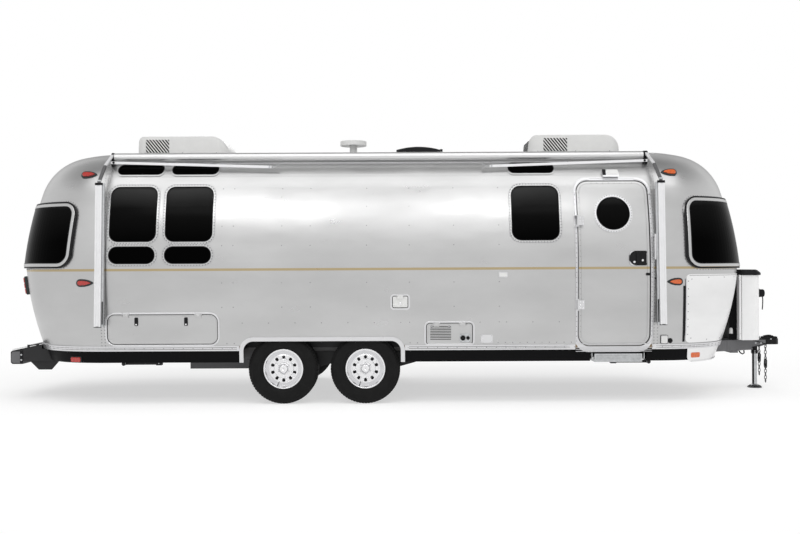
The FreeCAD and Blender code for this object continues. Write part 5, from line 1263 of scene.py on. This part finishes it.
def side_pane_place(seam, sign, side, near_x, far_y, z_range):
    """Maps (share of the way round, z) to a place: 0 at the near edge's x, 1 at the far edge's y."""
    find, sizes = end_plan(seam, sign)

    def on_pane(share, z):
        reach, half = sizes(z)
        rise = min(1.0, max(0.0, (z - z_range[0]) / (z_range[1] - z_range[0])))
        edge_x = near_x[0] + (near_x[1] - near_x[0]) * rise
        low = 1 - math.sqrt(1 - sign * (edge_x - seam) / reach)
        high = math.sqrt(1 - far_y / half)
        return find(low + (high - low) * share, z, side)

    return on_pane


def centre_pane_place(seam, sign):
    find, sizes = end_plan(seam, sign)

    def on_pane(share, z):
        y = (share * 2 - 1) * CENTRE_HALF
        return find(math.sqrt(1 - abs(y) / sizes(z)[1]), z, 1 if y > 0 else -1)

    return on_pane


def pane_sheet(work, find, length, z, radius):
    """A closed curved pane with round corners."""
    turns = [radius * (1 - math.cos(math.radians(a))) for a in range(0, 90, 15)] + [radius]
    middle = [radius + (length - 2 * radius) * n / 18 for n in range(1, 18)]
    columns = turns + middle + [length - t for t in reversed(turns)]
    grids = []
    for proud in (PANE_PROUD, PANE_PROUD - 0.004):
        grid = []
        for a in columns:
            inside = radius - min(a, length - a, radius)
            drop = radius - math.sqrt(max(0.0, radius * radius - inside * inside))
            row = []
            for n in range(13):
                place_here, out = find(a / length, z[0] + drop + (z[1] - z[0] - 2 * drop) * n / 12)
                row.append(work.verts.new(place_here + out * proud))
            grid.append(row)
        grids.append(grid)
    for grid in grids:
        for a, b in zip(grid, grid[1:]):
            for k in range(12):
                work.faces.new((a[k], a[k + 1], b[k + 1], b[k]))
    for at in (0, -1):
        for k in range(12):
            work.faces.new((grids[0][at][k], grids[0][at][k + 1], grids[1][at][k + 1], grids[1][at][k]))
    for k in (0, 12):
        for a, b, c, d in zip(grids[0], grids[0][1:], grids[1][1:], grids[1]):
            work.faces.new((a[k], b[k], c[k], d[k]))


def end_windows():
    (glass, rims, gaskets), dots = new_works(3), []
    for seam, sign, near_x, far_y, low, high in END_WINDOWS.values():
        panes = [(side_pane_place(seam, sign, side, near_x, far_y, (low, high)), SIDE_PANE_LENGTH)
                 for side in (-1, 1)]
        panes.append((centre_pane_place(seam, sign), CENTRE_HALF * 2))
        for find, length in panes:
            pane_sheet(glass, find, length, (low, high), END_CORNER)

            def loop(grow, pitch=0.03):
                return [find(a / length, z) for a, z in
                        outline((-grow, length + grow), (low - grow, high + grow), END_CORNER + grow, pitch)]

            ribbon(rims, loop(0.015), bead_profile(0.032, 0.024, PANE_RIM - 0.003, PANE_RIM, -0.002))
            ribbon(gaskets, loop(-0.0035), square_profile(0.006, PANE_PROUD - 0.002, PANE_PROUD + 0.0015))
            ribbon(gaskets, loop(0.0395), square_profile(0.017, -0.001, 0.0295))
            dots += lifted(loop(0.060, 0.034), 0.0)
    finished("end_window_panes", glass, "glass", "window_glass")
    finished("end_window_rims", rims, "skin", "trim")
    finished("end_window_gaskets", gaskets, "black", "black_plastic")
    rivets("end_window_rivets", dots, radius=0.0060)


# ------------------------------------------------------------------ lamps
# x of the blunt end, x of the point, z low and high
LONG_LAMPS = {"red": [(-3.392, -3.256, 2.358, 2.402), (-3.372, -3.232, 1.231, 1.279)],
              "amber": [(2.800, 2.668, 2.358, 2.402), (2.792, 2.668, 1.220, 1.266)]}
SKIRT_LAMPS = {"red": (-3.478, -3.370, 0.441, 0.491), "amber": (2.915, 3.020, 0.457, 0.511)}
TAIL_LAMP = ((0.560, 0.650), (1.126, 1.324))
SKIRT_TREE = tree_of(["skirt"])


def drop_shape(blunt, point, z, grow=0.0):
    """A long drop: round at the blunt end, narrowing to a small nose."""
    way = 1 if point > blunt else -1
    half = (z[1] - z[0]) / 2 + grow
    middle = (z[0] + z[1]) / 2
    centre = blunt + way * ((z[1] - z[0]) / 2)
    round_end = [(centre - way * half * math.cos(math.radians(a)), middle + half * math.sin(math.radians(a)))
                 for a in range(-90, 91, 15)]
    tip = point + way * grow * 1.6
    nose = [(centre + (tip - centre) * share, middle + half * rise) for share, rise in
            ((0.35, 0.96), (0.65, 0.72), (0.88, 0.36), (1.0, 0.0), (0.88, -0.36), (0.65, -0.72), (0.35, -0.96))]
    return round_end + nose


def lamps():
    red, amber, bezels = new_works(3)
    lenses = {"red": red, "amber": amber}
    for side in (-1, 1):
        for colour, places in LONG_LAMPS.items():
            for blunt, point, low, high in places:
                pad(bezels, edge_on(drop_shape(blunt, point, (low, high), 0.016), side), -0.002, 0.011, 0.004)
                pad(lenses[colour], edge_on(drop_shape(blunt, point, (low, high)), side), 0.009, 0.024, 0.007,
                    0.001)
        for colour, (x0, x1, z0, z1) in SKIRT_LAMPS.items():
            for work, grow, low, high, soft in ((bezels, 0.008, -0.002, 0.008, 0.003),
                                                (lenses[colour], 0.0, 0.006, 0.019, 0.004)):
                edge = [seen_from(SKIRT_TREE, x, z, side) for x, z in
                        rounded((x0 - grow, x1 + grow), (z0 - grow, z1 + grow), 0.012, 3)]
                pad(work, [p for p in edge if p], low, high, soft)
        y, z = TAIL_LAMP

        def rear_edge(y, z, radius):
            return [bare((-6.0, side * a, b), (1, 0, 0)) for a, b in rounded(y, z, radius, 3)]

        pad(bezels, rear_edge(y, z, 0.020), -0.004, 0.034, 0.006)
        third = (z[1] - z[0] - 0.028) / 3
        for n in range(3):
            low = z[0] + 0.012 + n * (third + 0.002)
            pad(red, rear_edge((y[0] + 0.012, y[1] - 0.012), (low, low + third), 0.012), 0.030, 0.044, 0.005)
    finished("red_lenses", red, "red", "red_lens", stands_for=["red_lamps"])
    finished("amber_lenses", amber, "amber", "amber_lens", stands_for=["amber_lamps"])
    finished("lamp_bezels", bezels, "dark_bezel", "black_plastic")


# ------------------------------------------------------------------ corner guards at the front
def guards():
    """Rolled rear edges, dark joint lines, a black strip of painted shadow on the wall behind each rear edge, and
    rivets of the two corner guards.
    """
    sheets = tree_of(["front_guards"])
    (dark, pale), dots = new_works(2), []
    for side in (-1, 1):
        def along(xs, zs, on=sheets, steps=24):
            """The places found on a straight run, on the guards or, with None, on the walls."""
            line = [(xs[0] + (xs[1] - xs[0]) * n / steps, zs[0] + (zs[1] - zs[0]) * n / steps)
                    for n in range(steps + 1)]
            found = [seen_from(on, x, z, side) if on else on_side(x, z, side) for x, z in line]
            return [p for p in found if p]

        ribbon(pale, along((2.846, 2.846), (0.600, 1.300)),
               [(-0.006, -0.002), (-0.006, 0.005), (0.0, 0.0075), (0.006, 0.005), (0.006, -0.002)], closed=False)
        # painted shadow: a black strip on the wall beside the guard's rear edge stands for the shadow where the
        # guard stands off the body
        ribbon(dark, along((2.826, 2.826), (0.600, 1.200), None), square_profile(0.020, -0.003, 0.006),
               closed=False)
        ribbon(dark, along((2.856, 3.556), (1.306, 1.306), steps=30), flat_profile(0.0035, -0.001, 0.0022),
               closed=False)
        for x, z in ((2.905, 1.268), (3.10, 1.285), (3.30, 1.285), (3.47, 1.285), (2.905, 0.66), (3.10, 0.64),
                     (3.30, 0.64), *((2.868, 0.70 + n * 0.078) for n in range(8))):
            dots.append(seen_from(sheets, x, z, side))
    finished("guard_edges", pale, "trim", "trim")
    finished("guard_joints_and_shadow_strips", dark, "black", "black_plastic")
    rivets("guard_rivets", dots, radius=0.0065)


# ------------------------------------------------------------------ nose: gas cover, jack, coupler and chains
COVER_X, COVER_HALF, COVER_Z = (3.712, 3.962), 0.330, (0.569, 1.298)
COVER_BAND = 0.026
JACK_X, LEG_RADIUS = 4.000, 0.026
JACK_FOOT = [(0.0785, 0.0004), (0.0805, 0.003), (0.0805, 0.010), (0.0760, 0.0135), (0.0330, 0.0385),
             (0.0275, 0.0412), (0.0262, 0.0412)]
LINK_PITCH, LINK_WIRE = 0.036, 0.0046
# each chain's x and y, and how low it hangs
CHAIN_TOP_Z = 0.494
CHAINS = ((4.112, -0.038, 0.036), (4.078, 0.062, 0.070))


def plan(x, half, radius, grow=0.0):
    """Corners of a rectangle with round corners, seen from above."""
    return rounded(x, (-half, half), radius, 6, grow)


def stacked(work, outlines):
    """A closed form through outlines seen from above, each with its height."""
    rings = [[work.verts.new((a, b, z)) for a, b in corners] for corners, z in outlines]
    walls(work, rings)
    ends(work, rings)


def link_mesh():
    """Two links of a chain, the second turned a quarter, hanging down."""
    work = bmesh.new()
    path = []
    for n in range(12):
        a = math.tau * n / 12
        straight = math.copysign(0.0065, math.sin(a)) * (abs(math.sin(a)) > 0.2)
        path.append((0.0118 * math.cos(a), 0.0150 * math.sin(a) + straight))
    for turn in (0, 1):
        rings = []
        for n, (across, up) in enumerate(path):
            before, after = path[n - 1], path[(n + 1) % 12]
            along = Vector((after[0] - before[0], 0, after[1] - before[1])).normalized()
            out = Vector((along.z, 0, -along.x))
            ring = []
            for c, s in around_axis(6):
                p = Vector((across, 0, up - turn * LINK_PITCH)) + (out * c + Vector((0, 1, 0)) * s) * LINK_WIRE
                ring.append(work.verts.new((p.y, p.x, p.z) if turn else p))
            rings.append(ring)
        walls(work, rings, True)
    return from_bmesh("chain_links", work, True)


def nose():
    gas_bottle_cover()
    jack()
    coupler()
    chains()


def gas_bottle_cover():
    cover, lid, back, seam_core, screws = new_works(5)
    x0, x1 = COVER_X
    z0, z1 = COVER_Z
    front = x0 + COVER_BAND + 0.004
    # the rear band and the front bottle cover, with a shadow gap between them
    brick(cover, (x0, x0 + COVER_BAND), (-COVER_HALF + 0.004, COVER_HALF - 0.004), (z0 + 0.004, z1), 0.003)
    corners = [(x, y) for x, y in plan((x1 - 0.3, x1), COVER_HALF, 0.100) if x > front]

    def outline_at(inset):
        return [(x - inset * (x - front) / (x1 - front), y * (1 - inset / COVER_HALF)) for x, y in corners] \
            + [(front, COVER_HALF - inset), (front, -COVER_HALF + inset)]

    stacked(cover, [(outline_at(0.004), z0), (outline_at(0.0), z0 + 0.005), (outline_at(0.0), z1)])
    brick(seam_core, (x0 + 0.004, x1 - 0.06), (-COVER_HALF + 0.012, COVER_HALF - 0.012), (z0 + 0.006, z1 - 0.004))
    # pressed lid with a rolled rim and a bevelled front
    lid_x = (x0 - 0.022, x1 + 0.016)
    stacked(lid, [(plan(lid_x, 0.344, 0.105, 0.0), z1 - 0.002), (plan(lid_x, 0.344, 0.105, 0.002), z1 + 0.004),
                  (plan(lid_x, 0.344, 0.105, 0.002), z1 + 0.022), (plan(lid_x, 0.344, 0.105, -0.004), z1 + 0.030),
                  (plan((lid_x[0] + 0.012, lid_x[1] - 0.040), 0.325, 0.080), z1 + 0.056),
                  (plan((lid_x[0] + 0.022, lid_x[1] - 0.056), 0.300, 0.060), z1 + 0.061)])
    # painted shade: a near-black panel fills the space between the nose and the cover and stands for the shade
    # there
    brick(back, (3.628, x0), (-0.250, 0.250), (0.575, 1.262), 0.004)
    for side in (-1, 1):
        spun(screws, (3.640, side * 0.262, 0.640), (0, 0, 1),
             [(0.020, 0.0), (0.020, 0.040), (0.016, 0.058), (0.006, 0.066)], 16)
        for z in (1.240, 0.640):
            bolt(screws, (x0 + 0.014, side * (COVER_HALF - 0.004), z), (0, side, 0), 0.005, 0.003)
    finished("gas_bottle_cover", cover, "cover", "pale_cover", stands_for=["gas_cover"])
    finished("gas_bottle_cover_core", seam_core, "black", "pale_cover")
    finished("gas_bottle_cover_top", lid, "black", "black_plastic", stands_for=["gas_cover_lid"])
    finished("gas_bottle_shade_panel", back, "skirt", "black_plastic", stands_for=["gas_cover_back"])
    finished("gas_bottle_cover_fixings", screws, "white", "trim")


def jack():
    """A black half-shell on the leg that paints the dark reflection down its side, a ribbed foot, clamp bolts on
    the collar, and the head's grip and strap.
    """
    dark_reflection_shell, foot, strap, head = new_works(4)
    # painted reflection: a black half-shell over the galvanised leg stands for the dark reflection down that side
    half_round = [(LEG_RADIUS + 0.0005, a) for a in range(96, 241, 8)] \
        + [(LEG_RADIUS - 0.001, a) for a in range(240, 95, -8)]
    rings = [[dark_reflection_shell.verts.new((JACK_X + r * math.cos(math.radians(a)), r * math.sin(math.radians(a)), z))
              for r, a in half_round] for z in (0.043, 0.392)]
    walls(dark_reflection_shell, rings)
    ends(dark_reflection_shell, rings)
    spun(foot, (JACK_X, 0, 0), (0, 0, 1), JACK_FOOT, 40)
    for c, s in around_axis(8):
        way = Vector((c, s, 0))
        square_bar(foot, Vector((JACK_X, 0, 0.0355)) + way * 0.030, Vector((JACK_X, 0, 0.014)) + way * 0.074,
                   0.005, 0.009, (-way.y, way.x, 0))
    for z in (0.402, 0.422):
        for n in range(6):
            a = math.tau * n / 6 + 0.3
            way = Vector((math.cos(a), math.sin(a), 0))
            bolt(strap, Vector((JACK_X, 0, z)) + way * 0.0375, way, 0.004, 0.003)
    brick(head, (3.957, 4.048), (-0.0405, 0.0405), (1.128, 1.140), 0.004)
    for c, s in around_axis(12):
        spun(head, (4.0585, 0.0385 * c, 1.085 + 0.0385 * s), (1, 0, 0), [(0.006, 0), (0.006, 0.044)], 8)
    bent_bar(head, [(4.096, 0.0, 1.050), (4.100, 0.002, 1.000), (4.098, 0.004, 0.940), (4.094, 0.004, 0.895)],
             0.006)
    finished("jack_leg_painted_reflection", dark_reflection_shell, "black", "galvanised", "jack_leg")
    finished("jack_foot_plate", foot, "black", "galvanised", "jack_leg")
    finished("jack_collar_bolts", strap, "galvanised", "galvanised")
    finished("jack_head_grip", head, "black", "black_plastic")


def coupler():
    """Painted cheeks, rolled black edges, latch, pin and bolts."""
    cheek, edges, metal = new_works(3)
    for side in (-1, 1):
        y = side * 0.1045
        low, high = sorted((y, y + side * 0.004))
        prism(cheek, [(3.930, 0.470), (4.052, 0.488), (4.088, 0.508), (4.088, 0.556), (3.948, 0.560),
                      (3.930, 0.552)], "y", low, high)
        for a, b in (((3.944, 0.5625), (4.094, 0.5625)), ((3.950, 0.552), (4.094, 0.506)),
                     ((3.930, 0.470), (4.088, 0.506))):
            square_bar(edges, (a[0], y + side * 0.004, a[1]), (b[0], y + side * 0.004, b[1]), 0.008, 0.009,
                       (0, 1, 0))
        spun(edges, (3.948, y, 0.556), (0, side, 0), [(0.010, 0.0), (0.010, 0.007), (0.006, 0.009)], 16)
        for bx, bz in ((3.975, 0.520), (4.035, 0.520)):
            bolt(metal, (bx, y + side * 0.004, bz), (0, side, 0), 0.0065, 0.006)
    spun(metal, (4.060, 0.0, 0.562), (0, 0, 1), [(0.010, 0.0), (0.010, 0.018), (0.006, 0.026), (0.003, 0.030)], 12)
    prism(edges, [(4.098, 0.586), (4.112, 0.598), (4.165, 0.606), (4.206, 0.598), (4.232, 0.578), (4.222, 0.574),
                  (4.190, 0.590), (4.150, 0.594), (4.110, 0.584)], "y", -0.020, 0.020)
    spun(metal, (4.170, -0.052, 0.560), (0, -1, 0), [(0.008, -0.010), (0.008, 0.004), (0.005, 0.006)], 12)
    for rx, half in ((4.205, 0.030), (4.225, 0.026)):
        brick(edges, (rx - 0.003, rx + 0.003), (-half, half), (0.560, 0.583), 0.001)
    finished("coupler_cheeks", cheek, "drawbar_paint", "coupler_black")
    finished("coupler_edges_and_latch", edges, "black", "coupler_black")
    finished("coupler_pins", metal, "galvanised", "trim")


def chains():
    """Both chains, their hooks, and the cable ring under the beam."""
    links = link_mesh()
    lengths = []
    for x, y, low in CHAINS:
        count = int((CHAIN_TOP_Z - low) / (2 * LINK_PITCH))
        run = row_of("chain_run", links, count, (0.0, 0.0, -2 * LINK_PITCH), "galvanised")
        run.transform(Matrix.Translation((x, y, 0.480)))
        lengths.append(run)
    chain = joined("safety_chain_links", lengths)
    piece(chain.name, chain, "chain", "body", ["safety_chains"])
    hooks = bmesh.new()
    for (x, y, low), z in zip(CHAINS, (0.270, 0.330)):
        prism(hooks, [(x - 0.018, z), (x - 0.014, z + 0.056), (x + 0.006, z + 0.066), (x + 0.018, z + 0.044),
                      (x + 0.016, z - 0.034), (x + 0.002, z - 0.052), (x - 0.014, z - 0.034)], "y", y - 0.008,
              y + 0.008)
        bent_bar(hooks, [(x, y, z + 0.050), (x + 0.006, y, z + 0.075), (x - 0.004, y, z + 0.084)], 0.004, 8)
        bent_bar(hooks, [(x, y, 0.505), (x + 0.004, y, 0.494), (x, y, 0.482)], 0.0045, 8)
    bent_bar(hooks, [(x, -0.100, z) for x, z in ((3.784, 0.436), (3.802, 0.408), (3.828, 0.394), (3.846, 0.406),
                                                 (3.842, 0.436))], 0.0075, 8)
    finished("chain_hooks_and_ring", hooks, "black", "galvanised")


# ------------------------------------------------------------------ rear bumper, step, stands and rub rail
LID_EDGE_Z = 0.5355
STAND_Z = 0.395
RAIL_STEPS = 120


def rear():
    caps, bolts, plate, lid_edge, band, holder = new_works(6)
    section = [(-4.2655, 0.402), (-4.247, 0.383), (-4.140, 0.383), (-4.140, 0.526), (-4.247, 0.524),
               (-4.2655, 0.508)]
    middle_x, middle_z, share = -4.203, 0.4545, 0.86
    inset = [(middle_x + (x - middle_x) * share, middle_z + (z - middle_z) * share) for x, z in section]
    for side in (-1, 1):
        prism(caps, inset, "y", *sorted((side * 0.7495, side * 0.7525)))
        brick(band, (-4.166, -4.134), sorted((side * 0.7490, side * 0.7530)), (0.384, 0.524), 0.001)
        for bz in (0.425, 0.480):
            bolt(bolts, (-4.150, side * 0.7530, bz), (0, side, 0), 0.0065, 0.005)
        for bx in (-4.02, -3.93, -3.86):
            bolt(bolts, (bx, side * 0.6905, 0.500), (0, side, 0), 0.007, 0.005)
    for y in (-0.60, -0.20, 0.20, 0.60):
        bolt(bolts, (-4.2640, y, 0.455), (-1, 0, 0), 0.0075, 0.0020)
    # number-plate holder with a blank plate and its small light, and the rolled edge of the bumper's lid
    brick(plate, (-4.2658, -4.2630), (-0.165, 0.165), (0.402, 0.508), 0.0004)
    for y0, y1, z0, z1 in ((-0.172, 0.172, 0.398, 0.404), (-0.172, 0.172, 0.506, 0.512),
                           (-0.172, -0.166, 0.398, 0.512), (0.166, 0.172, 0.398, 0.512)):
        brick(holder, (-4.2668, -4.2630), (y0, y1), (z0, z1), 0.0006)
    brick(holder, (-4.2665, -4.2500), (-0.035, 0.035), (0.512, 0.528), 0.003)
    bent_bar(lid_edge, [(-4.252, y / 20, LID_EDGE_Z) for y in range(-14, 15, 4)], 0.0035, 8)
    finished("bumper_end_caps", caps, "cap_paint", "chassis_paint")
    finished("bumper_cap_bands", band, "black", "chassis_paint")
    finished("bumper_bolts", bolts, "galvanised", "trim")
    finished("blank_number_plate", plate, "white", "white_plastic")
    finished("number_plate_holder", holder, "black", "black_plastic")
    finished("bumper_lid_edge", lid_edge, "trim", "trim", "bumper_lid")


def running_gear():
    # step: ridges along the tread, a nosing, and bolts on the side plates
    ridge = bmesh.new()
    brick(ridge, (1.935, 2.377), (-1.196, -1.190), (0.4275, 0.4312), 0.001)
    ridges = row_of("step_ridges", from_bmesh("step_ridge", ridge), 16, (0.0, 0.0165, 0.0), "galvanised")
    piece("step_ridges", ridges, None, "step_tread")
    nosing = bmesh.new()
    for z in (0.436, 0.452, 0.468, 0.484):
        brick(nosing, (1.925, 2.387), (-1.2085, -1.2055), (z - 0.0035, z + 0.0035), 0.001)
    for x, way in ((1.9115, -1), (2.4005, 1)):
        for y, z in ((-1.180, 0.470), (-0.966, 0.462)):
            bolt(nosing, (x, y, z), (way, 0, 0), 0.008, 0.005)
    finished("step_nosing_and_bolts", nosing, "galvanised", "galvanised", "step_tread")
    brackets = bmesh.new()
    for x, way in ((1.8835, -1), (2.4285, 1)):
        for y, z in ((-1.150, 0.490), (-1.050, 0.500), (-0.960, 0.500)):
            bolt(brackets, (x, y, z), (way, 0, 0), 0.0075, 0.005)
    finished("step_bracket_bolts", brackets, "galvanised", "galvanised")
    # stands: pivot bolts, a rubbing strip down each leg and end rings on each foot
    for end in ("rear", "front"):
        for side_name, side in SIDES.items():
            name = "stabiliser_" + end + "_" + side_name
            low, high = (Vector(c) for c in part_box(name))
            parts = bmesh.new()
            mid = side * 0.875
            # the leg runs from its pivot towards its foot
            pivot_x, foot_x, way = (high.x - 0.020, low.x + 0.020, 1) if end == "rear" \
                else (low.x + 0.020, high.x - 0.020, -1)
            for out in (-1, 1):
                bolt(parts, (pivot_x, mid + out * 0.0205, STAND_Z), (0, out, 0), 0.009, 0.006)
                spun(parts, (foot_x, mid + out * 0.0585, STAND_Z), (0, out, 0),
                     [(0.0205, -0.004), (0.0215, -0.003), (0.0215, 0.0005), (0.0150, 0.0012)], 20)
            brick(parts, (foot_x + way * 0.03, pivot_x - way * 0.05), (mid - 0.0160, mid + 0.0160),
                  (0.4085, 0.4105), 0.0006)
            finished(name + "_fittings", parts, "galvanised", "trim", name)
    # rub rail: two dark lines along the moulding, read off the rail itself, that paint the shade in its grooves
    rail_tree = tree_of(["rub_rail"])
    lines, dots = bmesh.new(), []
    for side in (-1, 1):
        for z in (0.571, 0.588):
            run = []
            for n in range(RAIL_STEPS + 2):
                found = seen_from(rail_tree, -3.75 + 7.05 * n / RAIL_STEPS, z, side) if n <= RAIL_STEPS else None
                if found and abs(found[0].y) >= INSIDE_Y:
                    run.append(found)
                    continue
                if len(run) > 2:
                    ribbon(lines, run, flat_profile(0.0042, -0.001, 0.0010), closed=False)
                run = []
        found = [seen_from(rail_tree, -3.0 + n * 0.1, 0.5795, side) for n in range(60)]
        dots += [p for p in found if p and abs(p[0].y) > 1.0]
    finished("rub_rail_groove_shade_lines", lines, "black", "black_plastic")
    rivets("rub_rail_rivets", dots, radius=0.0045)


def body_details():
    window_details()
    rivets("body_rivets", seam_details() + wall_rivets())


# ------------------------------------------------------------------ studio
ROOM_LIGHT = 0.62
GLOSS_BACKDROP = 1.0
GLOSS_CEILING = 0.35
GLOSS_BEHIND = 0.30
FLOOR_TONE = 0.55
FLOOR_GLOW = 0.55
FLOOR_HALF = 60
WHITE = (1, 1, 1, 1)
# name, place, aim, width and height, power in watts
LAMPS = (("overhead", (0, -4, 8.0), (0, 0, 1.2), (14, 4), 240),
         ("camera_left", (-3.3, -10, 7.3), (-2.4, 0, 1.6), (4.2, 1.1), 92),
         ("camera_right", (1.9, -10, 7.3), (1.3, 0, 1.6), (3.2, 1.1), 66),
         ("far_side", (0, 10, 6.2), (0, 0, 1.5), (11, 1.4), 170))
EYE, EYE_ROLL = (-0.08, -11.0, 1.4045), 0.258
LENS_MM, SENSOR_MM = 42.95, 36


def studio():
    world = bpy.data.worlds.new("studio")
    scene.world = world
    world.use_nodes = True
    tree = world.node_tree
    path, coords = tree.nodes.new("ShaderNodeLightPath"), tree.nodes.new("ShaderNodeTexCoord")
    way, seen, both = (tree.nodes.new("ShaderNode" + kind) for kind in ("SeparateXYZ", "Math", "Math"))
    seen.operation, both.operation = "MAXIMUM", "MULTIPLY"
    # gloss sees the white backdrop fade to a dimmer ceiling, and what stands behind the object is dimmer
    # still, which gives its outline a dark edge
    fades = []
    for axis, values in (("Z", (0.42, 0.95, GLOSS_BACKDROP, GLOSS_CEILING)), ("Y", (0.62, 1.0, 1.0, GLOSS_BEHIND))):
        fade = tree.nodes.new("ShaderNodeMapRange")
        fade.interpolation_type = "SMOOTHSTEP"
        for socket, value in zip(("From Min", "From Max", "To Min", "To Max"), values):
            fade.inputs[socket].default_value = value
        tree.links.new(way.outputs[axis], fade.inputs["Value"])
        fades.append(fade.outputs["Result"])
    glossy, strength = (tree.nodes.new("ShaderNodeMix") for n in range(2))
    glossy.inputs["A"].default_value = ROOM_LIGHT
    strength.inputs["B"].default_value = 1.0
    backdrop = tree.nodes["Background"]
    backdrop.inputs["Color"].default_value = WHITE
    wire(tree, (path.outputs["Is Camera Ray"], seen.inputs[0]),
         (path.outputs["Is Transmission Ray"], seen.inputs[1]), (coords.outputs["Generated"], way.inputs[0]),
         (fades[0], both.inputs[0]), (fades[1], both.inputs[1]),
         (path.outputs["Is Glossy Ray"], glossy.inputs["Factor"]), (both.outputs[0], glossy.inputs["B"]),
         (seen.outputs[0], strength.inputs["Factor"]), (glossy.outputs["Result"], strength.inputs["A"]),
         (strength.outputs["Result"], backdrop.inputs["Strength"]))

    mesh = bpy.data.meshes.new("studio_floor")
    mesh.from_pydata([(x * FLOOR_HALF, y * FLOOR_HALF, 0) for x, y in ((-1, -1), (1, -1), (1, 1), (-1, 1))], [],
                     [(0, 1, 2, 3)])
    floor = bpy.data.objects.new("studio_floor", mesh)
    scene.collection.objects.link(floor)
    mat, add, dress = material("studio_floor")
    # white far off, a soft shadow near the object
    spot = add("VectorMath", {0: add("TexCoord").outputs["Object"], 1: (0.12, 0.2, 0)},
               operation="MULTIPLY").outputs[0]
    far = add("VectorMath", {0: spot}, operation="LENGTH").outputs["Value"]
    fade = add("MapRange", {"Value": far, "From Min": 0.5, "From Max": 1.3}, interpolation_type="SMOOTHSTEP")
    looked_at = maths(add, "MULTIPLY", fade.outputs["Result"], add("LightPath").outputs["Is Camera Ray"])
    dress({"Emission Strength": spread_over(add, looked_at, FLOOR_GLOW, 1.0, 0.0, 1.0),
           "Base Color": spread_over(add, looked_at, FLOOR_TONE, 0.0, 0.0, 1.0), "Roughness": 0.95,
           "Specular IOR Level": 0.0, "Emission Color": WHITE})
    mesh.materials.append(mat)

    for name, place_at, aim, size, power in LAMPS:
        lamp = bpy.data.lights.new(name, "AREA")
        lamp.shape = "RECTANGLE"
        lamp.size, lamp.size_y = size
        lamp.energy = power
        obj = bpy.data.objects.new(name, lamp)
        obj.location = place_at
        obj.rotation_euler = (Vector(aim) - Vector(place_at)).to_track_quat("-Z", "Y").to_euler()
        scene.collection.objects.link(obj)

    lens = bpy.data.cameras.new("camera")
    lens.lens, lens.sensor_width = LENS_MM, SENSOR_MM
    eye = bpy.data.objects.new("camera", lens)
    eye.location = EYE
    eye.rotation_euler = (math.radians(90), math.radians(EYE_ROLL), 0)
    scene.collection.objects.link(eye)
    scene.camera = eye
    scene.view_settings.view_transform = "Standard"


body_details()
wheels()
roof_units()
awning()
door_details()
hatch_details()
wall_plate_details()
end_windows()
lamps()
guards()
nose()
rear()
running_gear()
studio()
